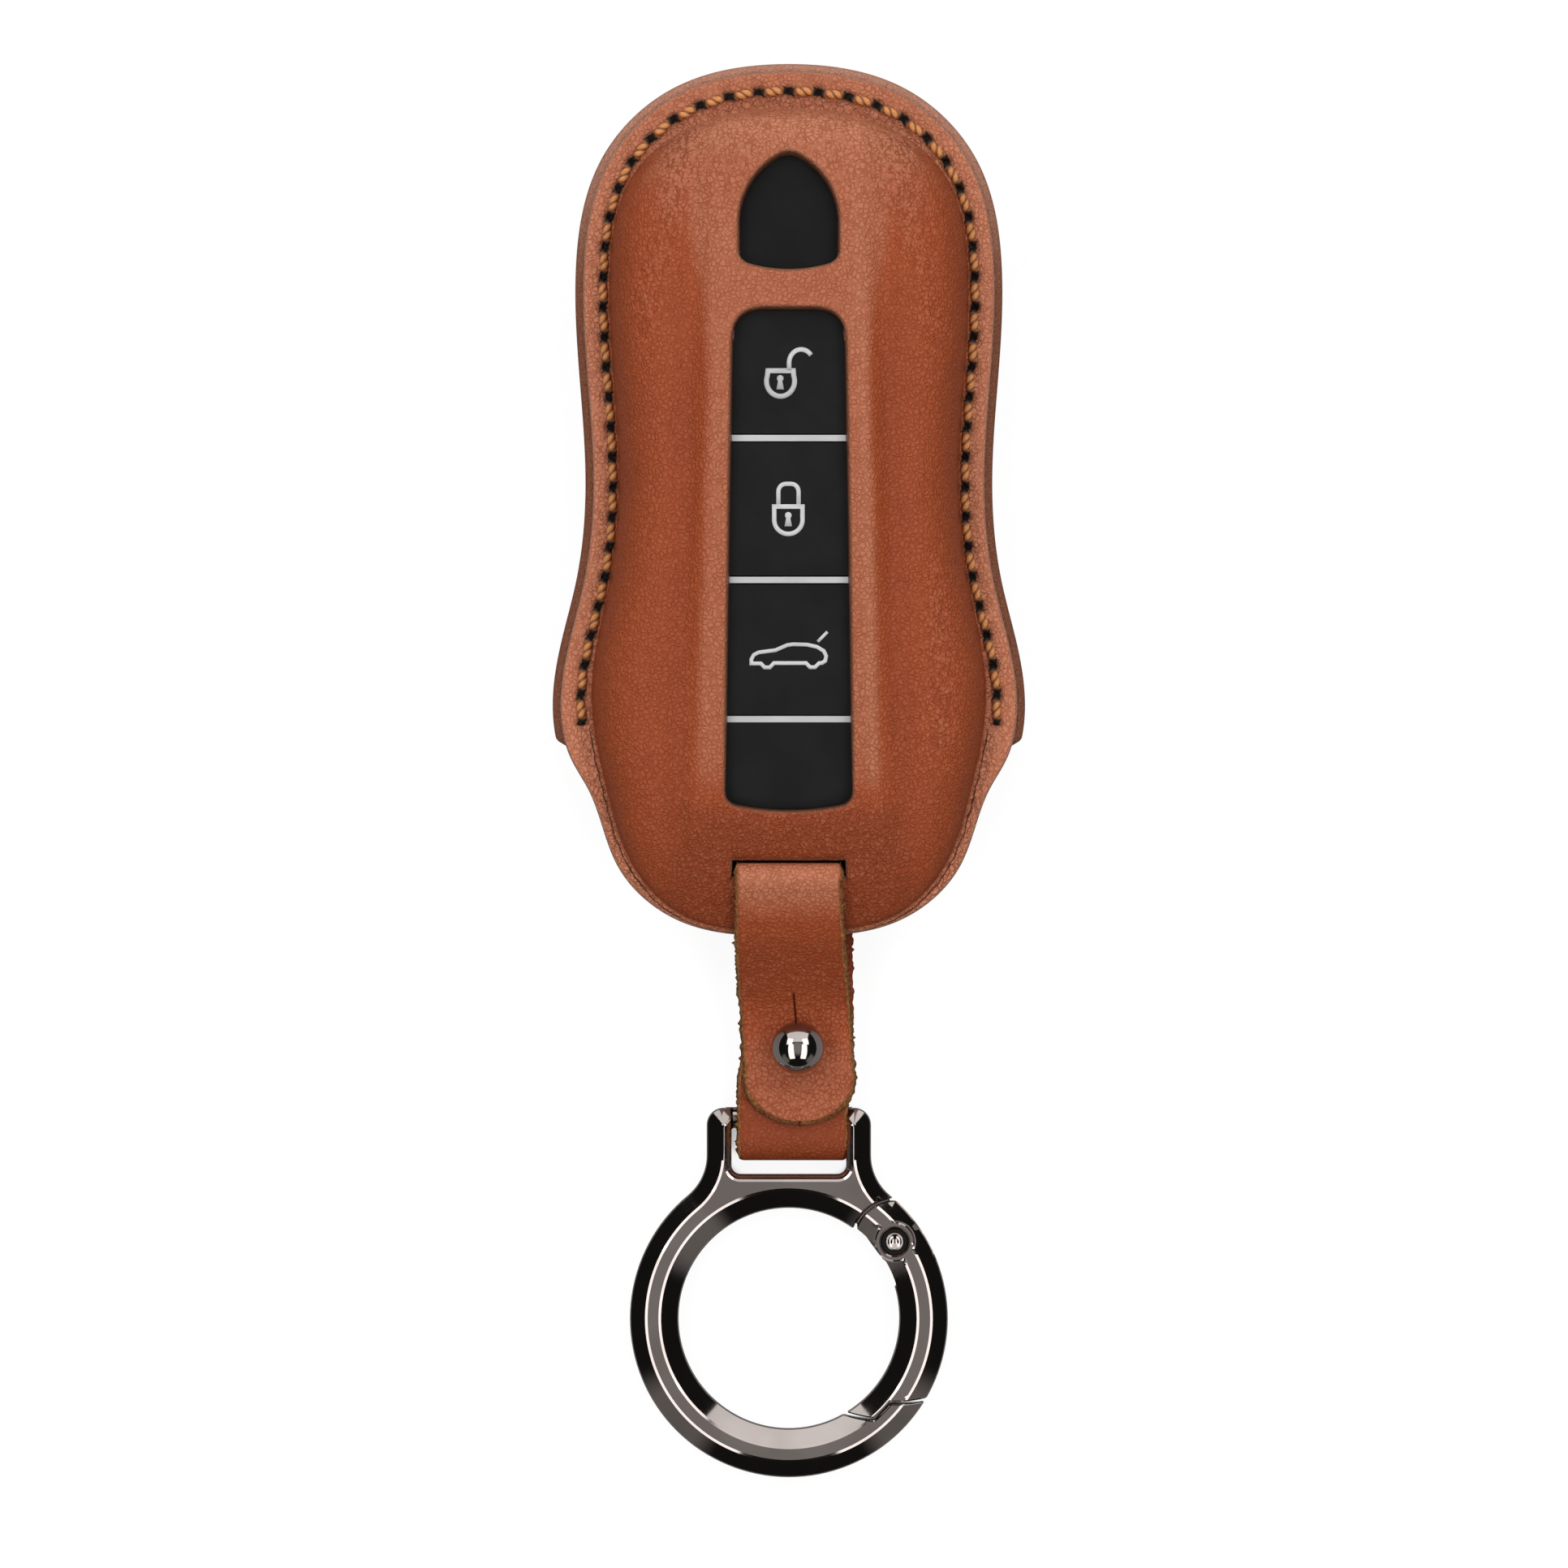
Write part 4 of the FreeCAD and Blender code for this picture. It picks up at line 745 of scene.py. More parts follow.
# %% Panel finish
EDGE_PAINT, EDGE_PAINT_HIGHLIGHT = (0.20, 0.08, 0.044), (0.44, 0.22, 0.15)
# Near-black for painted shade in the needle holes, in the strap's slit and where a stitch dives.
HOLE_SHADOW_BROWN = (0.012, 0.006, 0.004)
PANEL_RELIEF, WRINKLE_SIZE = 0.17, 2.4
HOLE_STRETCH, HOLE_FRAY, HOLE_SHADE, HOLE_EDGE = 1.3, 0.6, (1.1, 0.4), (0.54, 0.36)
CREASE_SHADE, HEAD_CREASE_Y = (0.5, 0.05), (26.0, 40.0)
RIM_PAINT, OPENING_PAINT = (0.4, 0.0), (0.42, 0.1)
CRACK_PLACE, CRACK_WANDER, CRACK_LINE = 0.75, 0.5, (0.1, 0.03)
CRACKLE_LINE, CRACKLE_START, CRACKLE_END = (0.06, 0.01), (-2.6, -0.8), (0.0, -0.3)


def cover_leather():
    """Finish of both moulded panels."""
    finish, shader, wire = new_finish("cognac_leather", {"Specular IOR Level": LEATHER_GLOSS})
    spot = wire.spot()
    crease, rim, opening, painted_light, wrinkle = (
        wire.attribute(name) for name in ("crease", "rim", "opening", "painted_light", "wrinkle"))
    clouds, wander = spot.noise(0.12, 4.0), spot.noise(0.8)
    drawn = spot.warped(0.5, 1.0).scaled((1.5, 0.7, 1.0)).noise(1.3, roughness=0.55)
    grain = leather_grain(spot) + (drawn - 0.5) * wrinkle * WRINKLE_SIZE
    crackle = spot.warped(0.9, 1.2).cells(1.1).ease(*CRACKLE_LINE)
    crackle = crackle * crease.ease(*CRACKLE_START) * crease.ease(*CRACKLE_END)
    crack = abs(crease + CRACK_PLACE - wander * CRACK_WANDER).ease(*CRACK_LINE) * wire.attribute("split")
    colour = colour_with_painted_light(painted_light + clouds * 0.6 - 0.3, grain, wrinkle)
    at_head = spot.split()[1].ease(*HEAD_CREASE_Y)
    # Painted shade along the crease, weaker at the head.
    colour = (abs(crease).ease(*CREASE_SHADE) * (0.5 - at_head * 0.45)).mix(colour, COGNAC_DEEP_AND_SHADE)
    colour = (crackle * 0.35 + crack * 0.8).mix(colour, CRACK_AND_SHADOW_DARK)
    # Dark paint on cut edges, painted pale as a highlight where the painted light is high.
    colour = (rim.ease(*RIM_PAINT) * 0.8).mix(colour, painted_light.ease(0.0, 1.5).mix(EDGE_PAINT, EDGE_PAINT_HIGHLIGHT))
    colour = (opening.ease(*OPENING_PAINT) * 0.8).mix(colour, EDGE_PAINT)
    along = abs(wire.math("FRACT", wire.attribute("stitch") + 0.5) - 0.5) * (pitch / HOLE_STRETCH)
    frayed = along.hypotenuse(wire.attribute("seam")) + (wander - 0.5) * HOLE_FRAY
    # Painted shade round each needle hole.
    colour = (frayed.ease(*HOLE_SHADE) * 0.55).mix(colour, CRACK_AND_SHADOW_DARK)
    # Painted shade in each needle hole.
    colour = frayed.ease(*HOLE_EDGE).mix(colour, HOLE_SHADOW_BROWN)
    relief = grain - crackle * 0.5 - crack
    connect(shader, {"Base Color": colour, "Roughness": 0.38 + clouds * 0.12 + grain * 0.05,
                     "Normal": relief.bump(PANEL_RELIEF)})
    return finish


leather = cover_leather()
print("finish:", leather.name)

# %% [markdown]
# ### Painted light
# Light and shade are painted on the front as a tone, beside its real wrinkles. Each mark is a soft
# patch from 0 to 1, and the tone and the wrinkles are sums of marks.

# %% Painted light on the front
# A mark's range goes from none to full
FAN_OUT, FAN_Y = 2.5, (12.0, 38.0)
MIDDLE_SHEEN_EDGE, MIDDLE_SHEEN_Y = (-1.9, 0.9), (-38.0, -29.0)
HOLLOW_Y = (30.0, 20.0)
HEAD_Y, HEAD_DROOP, BROW_Y = (20.0, 40.0), 0.25, (37.0, 43.0)
RIDGE_IN, RIDGE_WIDTH, RIDGE_X, RIDGE_Y = 0.7, 0.6, (-6.0, 6.0), (-37.0, -30.0)
CREST_LINE_Y, CREST_LINE_X, CREST_WIDTH, CREST_Y = [22.0, 36.0], [16.0, 12.5], 1.8, (8.0, 24.0)
FOLD_X, FOLD_WIDTH, FOLD_FOOT_Y, FOLD_HEAD_Y = 17.0, 1.7, (-34.0, -26.0), (-4.0, -13.0)
FOOT_Y, FOOT_X = (-32.0, -37.0), (15.0, 9.0)
BAND_GAP, BAND_Y = (1.4, 0.7), (30.0, 40.0)
FLANGE_LIGHT, FLANGE_WRINKLE, FLANGE_HEAD_DROP, FLANGE_HEAD_Y = 1.6, 0.2, 0.4, (34.0, 44.0)


def painted_light_and_wrinkles(points, crease_gap):
    """Painted light on the front as a tone, and its wrinkles, from 0 to 1: a painted sheen on the flat
    middle and at the head, painted highlights on a ridge, the lobes' crests and a fold at the lower
    right, painted shade at the foot, in the valley and in a band along the head's crease; wrinkled on
    the crests of the lobes and most at the lower right. The flange outside the crease has a painted
    sheen of its own, less at the head."""
    x, y = points[..., 0], points[..., 1]
    beside = beside_middle(points)
    fan = FAN_OUT * ramp(y, *FAN_Y)
    middle = ramp(fan - beside, MIDDLE_SHEEN_EDGE[0] - fan / 2, MIDDLE_SHEEN_EDGE[1]) * ramp(y, *MIDDLE_SHEEN_Y)
    hollow = bell(beside - VALLEY_OUT, VALLEY_REACH) * ramp(y, *HOLLOW_Y)
    head = ramp(y - HEAD_DROOP * np.abs(x), *HEAD_Y)
    brow = ramp(y, *BROW_Y)
    ridge = bell(beside + RIDGE_IN, RIDGE_WIDTH) * ramp(x, *RIDGE_X) * ramp(y, *RIDGE_Y)
    crest = bell(np.abs(x) - np.interp(y, CREST_LINE_Y, CREST_LINE_X), CREST_WIDTH) * ramp(y, *CREST_Y)
    fold = bell(x - FOLD_X, FOLD_WIDTH) * ramp(y, *FOLD_FOOT_Y) * ramp(y, *FOLD_HEAD_Y)
    foot = ramp(y, *FOOT_Y) * ramp(np.abs(x), *FOOT_X)
    band = ramp(crease_gap, *BAND_GAP) * ramp(y, *BAND_Y)
    # Painted light: a sheen on the middle and the head, highlights on the ridge, the crests and the fold; painted
    # shade at the foot, in the valley and in the band along the crease.
    painted_light = -0.3 + 1.05 * np.maximum(middle, head) + 0.3 * (ridge + crest) + 0.5 * fold
    painted_light += brow - 0.6 * foot - 0.25 * hollow - 0.35 * band
    wrinkle = np.clip(0.15 + 0.75 * crest + 0.3 * head + 0.85 * fold + 0.6 * foot, 0, 1)
    on_flange = crease_gap < 0
    # The flat flange is painted pale as a sheen, less towards the head.
    flange_light = FLANGE_LIGHT - FLANGE_HEAD_DROP * ramp(y, *FLANGE_HEAD_Y)
    return np.where(on_flange, flange_light, painted_light), np.where(on_flange, FLANGE_WRINKLE, wrinkle)


print("tone on the bridge:", round(float(painted_light_and_wrinkles(np.array([0.0, WINDOW_TOP]), SHOULDER_ROUND)[0]), 2))

# %% Front leather piece
FLANGE_SHARES = np.array([0.0, 0.035, 0.08, 0.14, 0.22, 0.31, 0.4, 0.49, 0.58, 0.67, 0.76, 0.85, 0.92, 0.97])
RISE_ROWS, SLOT_ROWS, MIDDLE_ROWS, BRIDGE_COLUMNS = 15, 5, 15, 40
APPROACH_POWER = 1.8
SEAM_EDGE_ROUND, FILLET_REACH, FILLET_SHARE = 0.55, 0.35, 0.9
HOLE_DEPTH, HOLE_LENGTH, HOLE_WIDTH = 0.55, 0.45, 0.42
GROOVE_DEPTH, GROOVE_WIDTH = 0.06, 0.5
CUT_FLARE, CUT_REACH = 0.22, 0.5
CRACK_Y = (-25.5, -27.5)
FAR = 9.0


def stitch_pits(seam):
    """Depth of the needle holes and of the groove that the thread lies in: round bells on the seam."""
    along = (stitch - np.round(stitch)) * pitch
    sewn = (stitch >= 0) & (stitch <= STITCH_COUNT)
    hole = HOLE_DEPTH * bell(along, HOLE_LENGTH) * bell(seam, HOLE_WIDTH)
    return np.where(sewn, hole + GROOVE_DEPTH * bell(seam, GROOVE_WIDTH), 0.0)


def inside_of(points, opening_gap, inward):
    """Lining points under the upper ones: a cut through leather is square to its surface, so the
    lining is moved along the slope of the arch, and the cut flares a little into the opening."""
    y = points[..., 1]
    lean = np.stack([0 * y, -LEATHER * np.maximum(y - CROWN_Y, 0) / MIDDLE_ARCH], -1)
    near = np.exp(-opening_gap / CUT_REACH)[..., None]
    return points + near * (lean + CUT_FLARE * unit(inward))


def openings(points):
    """Distance to the nearest of the front's windows and its slot."""
    lines = (button_outline, arch_outline, slot_outline(FRONT_SLOT))
    return np.min([gap_to(points, line) for line in lines], axis=0)


def front_piece():
    """Closed skin of the front leather: upper grid, lining, bridge and the walls between them."""
    low, high = slot_rows(crease, window, FRONT_SLOT)
    rise = np.linspace(0, 1, RISE_ROWS) ** 2
    approach = 1 - (1 - np.linspace(0, 1, MIDDLE_ROWS)) ** APPROACH_POWER
    flange = between(edge, crease, FLANGE_SHARES)
    bulge = np.concatenate([between(crease, low, rise), between(low, high, np.linspace(0, 1, SLOT_ROWS)[1:]),
                            between(high, window, approach[1:])])
    bridge = between(spread(bridge_low, BRIDGE_COLUMNS), spread(bridge_high, BRIDGE_COLUMNS), bridge_law)
    rim = FLANGE_SHARES[:, None] * flange_width
    seam = rim - STITCH_INSET
    to_crease = flange_width - rim
    fillet = CREASE_FILLET * np.exp(-to_crease / FILLET_REACH) * (to_crease < flange_width * FILLET_SHARE)
    flange_z = FLANGE_TOP - quarter_drop(rim, SEAM_EDGE_ROUND) + fillet - stitch_pits(seam)
    points, attributes = [], {}

    def put(plan, z, crease_gap, opening, rim, seam):
        """One grid of points with the values that its finish reads."""
        points.append(raised(plan, z))
        painted_light, wrinkle = painted_light_and_wrinkles(plan, crease_gap)
        values = {"crease": crease_gap, "opening": opening, "rim": rim, "seam": seam, "painted_light": painted_light,
                  "wrinkle": wrinkle, "split": ramp(plan[..., 1], *CRACK_Y),
                  "stitch": stitch if z.shape[1] == COLUMNS else UNSEWN}
        for key, value in values.items():
            attributes.setdefault(key, []).append(np.broadcast_to(value, z.shape).ravel())

    bulge_gap, bulge_open = gap_to(bulge, crease), openings(bulge)
    bridge_gap, bridge_open = gap_to(bridge, crease), openings(bridge)
    bulge_lining = inside_of(bulge, bulge_open, window - high)
    upward = np.where(np.arange(len(bridge)) < len(bridge) / 2, -1.0, 1.0)[:, None, None] * np.array([0, 1])
    bridge_lining = inside_of(bridge, bridge_open, upward)
    beside_bridge = np.arange(bridge_column, arch_column + 1)
    bridge_lining[:, -1] = bulge_lining[-1, beside_bridge]
    bridge_lining[:, 0] = bulge_lining[-1, COLUMNS - beside_bridge]
    put(flange, flange_z, -to_crease, FAR, rim, seam)
    put(bulge, front_skin(bulge, bulge_gap, bulge_open), bulge_gap, bulge_open, FAR,
        flange_width - STITCH_INSET + bulge_gap)
    put(flange, np.full(flange_z.shape, SEAM_LEVEL), -to_crease, FAR, 0.0, FAR)
    put(bulge_lining, front_lining(bulge, bulge_gap), bulge_gap, bulge_open, FAR, FAR)
    put(bridge, front_skin(bridge, bridge_gap, bridge_open), bridge_gap, bridge_open, FAR, FAR)
    put(bridge_lining, front_lining(bridge, bridge_gap), bridge_gap, bridge_open, FAR, FAR)

    upper = numbered(np.concatenate([flange, bulge]))
    lower = upper + upper.size
    bridge_upper = numbered(bridge, 2 * upper.size)
    bridge_lower = bridge_upper + bridge_upper.size
    low_row = len(flange) + RISE_ROWS - 1
    slot_place = low_row, low_row + SLOT_ROWS - 1
    from_foot = np.arange(COLUMNS)
    from_foot = np.minimum(from_foot, COLUMNS - 1 - from_foot)
    on_bridge = (from_foot >= bridge_column) & (from_foot < arch_column)
    faces = [
        round_slot(upper, *slot_place),
        round_slot(lower, *slot_place)[:, ::-1],
        grid_faces(np.stack([lower[0], upper[0]])),
        grid_faces(np.stack([upper[-1], lower[-1]]))[~on_bridge],
        slot_walls(upper, lower, *slot_place)[:, ::-1],
        grid_faces(bridge_upper, False),
        grid_faces(bridge_lower, False)[:, ::-1],
        grid_faces(np.stack([bridge_lower[0], bridge_upper[0]]), False),
        grid_faces(np.stack([bridge_upper[-1], bridge_lower[-1]]), False),
    ]
    attributes = {key: np.concatenate(values) for key, values in attributes.items()}
    add_piece("front_leather", np.concatenate(points), np.concatenate(faces), [leather], COVER,
              ["front_panel"], attributes)


front_piece()

# %% [markdown]
# ## Back leather
# The back is a shallow tray. Its edge stands out past the front's as a rounded, painted bead, down
# to the end of the stitching, and its foot bends up to let the strap out.

# %% Back leather piece
BACK_GROW, BACK_TUCK, BACK_STEP_Y = 0.9, -0.2, (-28.5, -27.0)
BACK_ROUND = 5.2
FOOT_BEND, FOOT_BEND_Y = 20.0, -29.5
BEAD_ROWS, BACK_FLANGE_ROWS, BACK_RISE_ROWS, BACK_SLOT_ROWS, BACK_MIDDLE_ROWS = 9, 9, 13, 4, 9
BEAD_HEAD_LIGHT, BEAD_HEAD_LIGHT_Y, BACK_WRINKLE = 1.5, (15.0, 46.0), 0.2


def back_floor(y):
    """Flat on the table, then a round bend up to the seam at the foot: r - sqrt(r^2 - dy^2)."""
    below = np.clip(FOOT_BEND_Y - y, 0, FOOT_BEND)
    return np.minimum(FOOT_BEND - np.sqrt(FOOT_BEND ** 2 - below ** 2), FLANGE_LOW)


def back_piece():
    """Closed skin of the back leather: bead, flange, tray and lining, folded shut on the middle line."""
    run = np.roll(edge, -1, 0) - np.roll(edge, 1, 0)
    out = unit(np.stack([run[:, 1], -run[:, 0]], 1))
    grow = BACK_TUCK + (BACK_GROW - BACK_TUCK) * ramp(edge[:, 1], *BACK_STEP_Y)
    rim_line = edge + out * grow[:, None]
    middle = np.stack([np.zeros(COLUMNS), crease[:, 1] * 0.5], 1)
    low, high = slot_rows(crease, middle, BACK_SLOT)
    radius = np.minimum(LEATHER, np.linalg.norm(rim_line - crease, axis=1)) / 2
    angle = np.linspace(np.pi / 2, -np.pi / 2, BEAD_ROWS)[:, None]
    bead = rim_line[None] + out[None] * (radius * (np.cos(angle) - 1))[..., None]
    bead_z = SEAM_LEVEL - LEATHER / 2 + np.sin(angle) * np.full(COLUMNS, LEATHER / 2)
    flange = between(bead[-1], crease, np.linspace(0, 1, BACK_FLANGE_ROWS)[1:-1])
    tray = np.concatenate([between(crease, low, np.linspace(0, 1, BACK_RISE_ROWS) ** 2),
                           between(low, high, np.linspace(0, 1, BACK_SLOT_ROWS)[1:]),
                           between(high, middle, np.linspace(0, 1, BACK_MIDDLE_ROWS)[1:])])
    tray_gap = gap_to(tray, crease)
    to_crease = np.linalg.norm(flange - crease, axis=2)
    seam = flange_width - STITCH_INSET - to_crease
    deep = back_floor(tray[..., 1])
    lining_deep = np.minimum(deep + LEATHER, SEAM_LEVEL)
    tray_z = FLANGE_LOW - (FLANGE_LOW - deep) * shoulder(tray_gap, BACK_ROUND)
    lining_z = SEAM_LEVEL - (SEAM_LEVEL - lining_deep) * shoulder(tray_gap - LEATHER, BACK_ROUND - LEATHER)
    outside = np.concatenate([bead, flange, tray])
    z = np.concatenate([bead_z, FLANGE_LOW + stitch_pits(seam), tray_z])
    points = np.concatenate([raised(outside, z), raised(tray, lining_z)])
    upper = numbered(outside)
    lining = numbered(tray, upper.size)
    upper_tray = upper[-len(tray):]
    slot_place = BACK_RISE_ROWS - 1, BACK_RISE_ROWS + BACK_SLOT_ROWS - 2
    faces = [grid_faces(upper[:-len(tray) + 1])[:, ::-1], round_slot(upper_tray, *slot_place)[:, ::-1],
             round_slot(lining, *slot_place), grid_faces(np.stack([upper[0], lining[0]])),
             slot_walls(upper_tray, lining, *slot_place)]

    def joined(*values):
        """Values of the bead, the flange, the tray and the lining in one list."""
        grids = (bead, flange, tray, tray)
        spread_out = [np.broadcast_to(value, grid.shape[:2]).ravel() for value, grid in zip(values, grids)]
        return np.concatenate(spread_out)

    attributes = {
        "crease": joined(FAR, to_crease, tray_gap, FAR),
        "opening": joined(FAR, FAR, gap_to(tray, slot_outline(BACK_SLOT)), FAR),
        "rim": joined(0.0, np.linalg.norm(flange - bead[-1], axis=2), FAR, FAR),
        "seam": joined(FAR, seam, FAR, FAR),
        "stitch": joined(stitch, stitch, stitch, UNSEWN),
        # The bead is painted pale towards the head, where it is lit.
        "painted_light": joined(BEAD_HEAD_LIGHT * ramp(bead[..., 1], *BEAD_HEAD_LIGHT_Y), 0.0, 0.0, 0.0),
        "wrinkle": joined(*[BACK_WRINKLE] * 4),
        "split": joined(*[0.0] * 4),
    }
    add_piece("back_leather", points, np.concatenate(faces), [leather], COVER,
              ["back_panel"], attributes)


back_piece()

# %% [markdown]
# ## Stitches
# The seam is hand sewn with a thick waxed thread. Each stitch comes up out of one hole, lies over
# the leather and dives into the next. A stitch is a tube whose section has two lobes that turn along
# it, like two plies laid together, and all of them are worked out at once.

# %% Thread finish
THREAD, THREAD_FIBRE_AND_SHADE = (0.64, 0.265, 0.085), (0.22, 0.068, 0.018)
DIVE_SHADE, DIVE_DARK = (0.38, 0.62), (0.56, 0.76)


def thread_finish():
    """Waxed thread: painted shade in stripes between the plies along the twist and where it dives into a
    hole, over darker fibres.
    """
    finish, shader, wire = new_finish("tan_thread", {"Specular IOR Level": 0.4, "Roughness": 0.55})
    strand = wire.math("COSINE", wire.attribute("twist"))
    fibre = wire.spot().noise(6.0)
    dive = abs(wire.attribute("dive"))
    # Painted shade in the grooves between the plies.
    colour = (strand * 0.5 + 0.5).ease(0.0, 0.5).mix(THREAD_FIBRE_AND_SHADE, THREAD)
    colour = (fibre.ease(0.55, 0.3) * 0.4).mix(colour, THREAD_FIBRE_AND_SHADE)
    # Painted shade where the thread dives into a hole.
    colour = (dive.ease(*DIVE_SHADE) * 0.8).mix(colour, THREAD_FIBRE_AND_SHADE)
    colour = dive.ease(*DIVE_DARK).mix(colour, HOLE_SHADOW_BROWN)
    connect(shader, {"Base Color": colour, "Normal": (strand * 0.4 + fibre * 0.5).bump(0.06, 0.8)})
    return finish


thread = thread_finish()
print("finish:", thread.name)

# %% Stitches piece
STITCH_RINGS, STITCH_SIDES = 17, 12
THREAD_RADIUS, THREAD_SLANT, THREAD_TWIST = 0.46, 0.15, 1.6
THREAD_REACH, THREAD_DIP, THREAD_RISE, LOBE = 0.47, -0.42, 0.62, 1 / 9


def stitch_tubes(level, side):
    """Tubes from hole to hole. Along t from -1 to 1 the middle line rises as 1 - t^4 and the radius
    falls as 1 - t^6 / 2, to nothing at the ends; the section's radius is 1 + LOBE cos(phase), where
    the phase goes round twice in a section and turns along the thread."""
    last = FOOT_COLUMNS + SEWN_COLUMNS
    holes = seam_curve(-STITCH_INSET)(column[FOOT_COLUMNS:last + 1])[::COLUMNS_PER_STITCH]
    run = np.diff(holes, axis=0)
    along = unit(run)
    across = np.stack([-along[:, 1], along[:, 0]], 1)
    t = np.linspace(-1, 1, STITCH_RINGS)[:, None]
    angle = -np.pi / 2 + np.linspace(0, 2 * np.pi, STITCH_SIDES, endpoint=False)
    middle = (holes[:-1] + holes[1:])[:, None] / 2 + THREAD_REACH * t * run[:, None]
    middle = middle + across[:, None] * (side * THREAD_SLANT * t)
    rise = level + side * (THREAD_DIP + THREAD_RISE * (1 - t ** 4))
    phase = 2 * angle - side * 2 * np.pi * THREAD_TWIST * t
    ring = THREAD_RADIUS * (1 - 0.5 * t ** 6) * (np.abs(t) < 1) * (1 + np.cos(phase) * LOBE)
    flat = middle[:, :, None] + across[:, None, None] * (ring * np.cos(angle))[None, ..., None]
    height = rise + ring * np.sin(angle)
    height, twist, dive = (np.broadcast_to(part, flat.shape[:-1]) for part in (height, phase, t))
    return raised(flat, height), twist.ravel(), dive.ravel()


def stitches_piece():
    """The stitches of both faces in one mesh."""
    faces_of_seam = zip(stitch_tubes(FLANGE_TOP, 1), stitch_tubes(FLANGE_LOW, -1))
    points, twist, dive = (np.concatenate(pair) for pair in faces_of_seam)
    one = np.arange(STITCH_RINGS * STITCH_SIDES).reshape(STITCH_RINGS, STITCH_SIDES)
    faces = grid_faces(one)[None] + np.arange(0, len(points), one.size)[:, None, None]
    add_piece("seam_thread", points, faces.reshape(-1, 4), [thread], COVER,
              ["seam_stitches"], {"twist": twist, "dive": dive})


stitches_piece()

# %% [markdown]
# ## Strap
# One strip of leather: its rounded tab buttons over the stud in front, goes up into the slot, comes
# out behind, turns round the ring's bar and lies inside. A section of the strip is carried along the
# line that it follows in side view; the cut edges are rough and pale.

# %% Strap finish
CUT_TAN, CUT_DARK = (0.52, 0.23, 0.075), (0.20, 0.07, 0.022)


def strap_leather():
    """Grain drawn out across the strap, with folds where it bends. Its tone is painted light: a sheen where
    it lies flat, painted shade where it slopes down and on the loop behind.
    """
    finish, shader, wire = new_finish("strap_leather", {"Specular IOR Level": LEATHER_GLOSS})
    spot, wrinkle = wire.spot(), wire.attribute("wrinkle")
    grain = leather_grain(spot) + (spot.scaled((0.6, 1.4, 1.0)).noise(1.5) - 0.5) * wrinkle
    colour = colour_with_painted_light(wire.attribute("painted_light"), grain, wrinkle)
    # Painted shadow under the tab's tip.
    colour = (wire.attribute("shade") * 0.75).mix(colour, CRACK_AND_SHADOW_DARK)
    # Painted shade in the button slit.
    colour = (wire.attribute("slit") * 0.95).mix(colour, HOLE_SHADOW_BROWN)
    connect(shader, {"Base Color": colour, "Roughness": 0.42 + grain * 0.06, "Normal": grain.bump(0.14)})
    return finish


def cut_leather():
    """Rough fibres of a cut edge."""
    finish, shader, wire = new_finish("cut_edge", {"Specular IOR Level": 0.2, "Roughness": 0.9})
    fibre = wire.spot().noise(3.0, 5.0, 0.7)
    connect(shader, {"Base Color": fibre.ease(0.38, 0.62).mix(CUT_DARK, CUT_TAN), "Normal": fibre.bump(0.15)})
    return finish


strap_finishes = [strap_leather(), cut_leather()]
print("finishes:", [finish.name for finish in strap_finishes])

# %% Strap route
STRAP_WIDTH, STRAP_THICK = 12.2, 1.27
# Corners in side view, Y and height, from the tab's tip to the end inside, and the rounds between
STRAP_ROUTE = np.array([(-70.6, 6.2), (-68.65, 6.2), (-66.05, 5.35), (-58.35, 5.35), (-47.1, 13.21),
                        (-41.9, 15.3), (-41.9, 1.9), (-66.05, 1.9), (-68.65, 0.8), (-74.4, 0.8),
                        (-74.4, 4.8), (-69.3, 4.8), (-66.7, 3.25), (-58.35, 3.25)])
STRAP_BENDS = np.array([3.0, 3.0, 8.0, 12.0, 1.5, 1.5, 3.0, 3.0, 2.0, 2.0, 3.0, 3.0])
STRAP_STEP, BEND_STEPS = 0.3, 15


def strap_line():
    """Route with a round at each corner, as evenly spaced points. A round is swept from one radius to
    the other: (sin((1-t) a) first + sin(t a) last) / sin(a)."""
    corner = STRAP_ROUTE[1:-1]
    back, on = unit(STRAP_ROUTE[:-2] - corner), unit(STRAP_ROUTE[2:] - corner)
    half = np.arccos(np.clip((back * on).sum(1), -1, 1)) / 2
    hub = corner + unit(back + on) * (STRAP_BENDS / np.sin(half))[:, None]
    first, last = (corner + way * (STRAP_BENDS / np.tan(half))[:, None] - hub for way in (back, on))
    share = np.linspace(0, 1, BEND_STEPS)[None, :, None]
    sweep = (np.pi - 2 * half)[:, None, None]
    bends = (np.sin((1 - share) * sweep) * first[:, None] + np.sin(share * sweep) * last[:, None]) / np.sin(sweep)
    line = np.vstack([STRAP_ROUTE[:1], (hub[:, None] + bends).reshape(-1, 2), STRAP_ROUTE[-1:]])
    return spread(line, int(run_length(line)[-1] / STRAP_STEP))


strap_route = strap_line()
print("strap length:", round(run_length(strap_route)[-1], 1), "mm")

# %% Strap piece
STUD_X, STUD_Y = 1.0, -62.2
TIP_LENGTH = 4.8
FRONT_LENGTH = (34.0, 30.0)
SLOT_PINCH, PINCH_Y = 0.04, (-56.0, -44.0)
TAB_DRIFT, TAB_DRIFT_Y = 1.25, (-46.0, -68.0)
LOOP_DRIFT, LOOP_DRIFT_Y, BACK_DRIFT, BACK_DRIFT_Y = 0.45, (-43.0, -53.0), 0.5, (-67.0, -62.0)
HALF_SHARES = np.concatenate([[0.024, 0.06], np.linspace(0.13, 0.89, 9), [0.94, 0.985, 1]])
EDGE_SHARE, EDGE_THIN = 0.05, 0.22
CUT_LEAN, FLESH_FUZZ, GRAIN_FUZZ, TIP_FUZZ = 0.16, 0.16, 0.05, 0.1
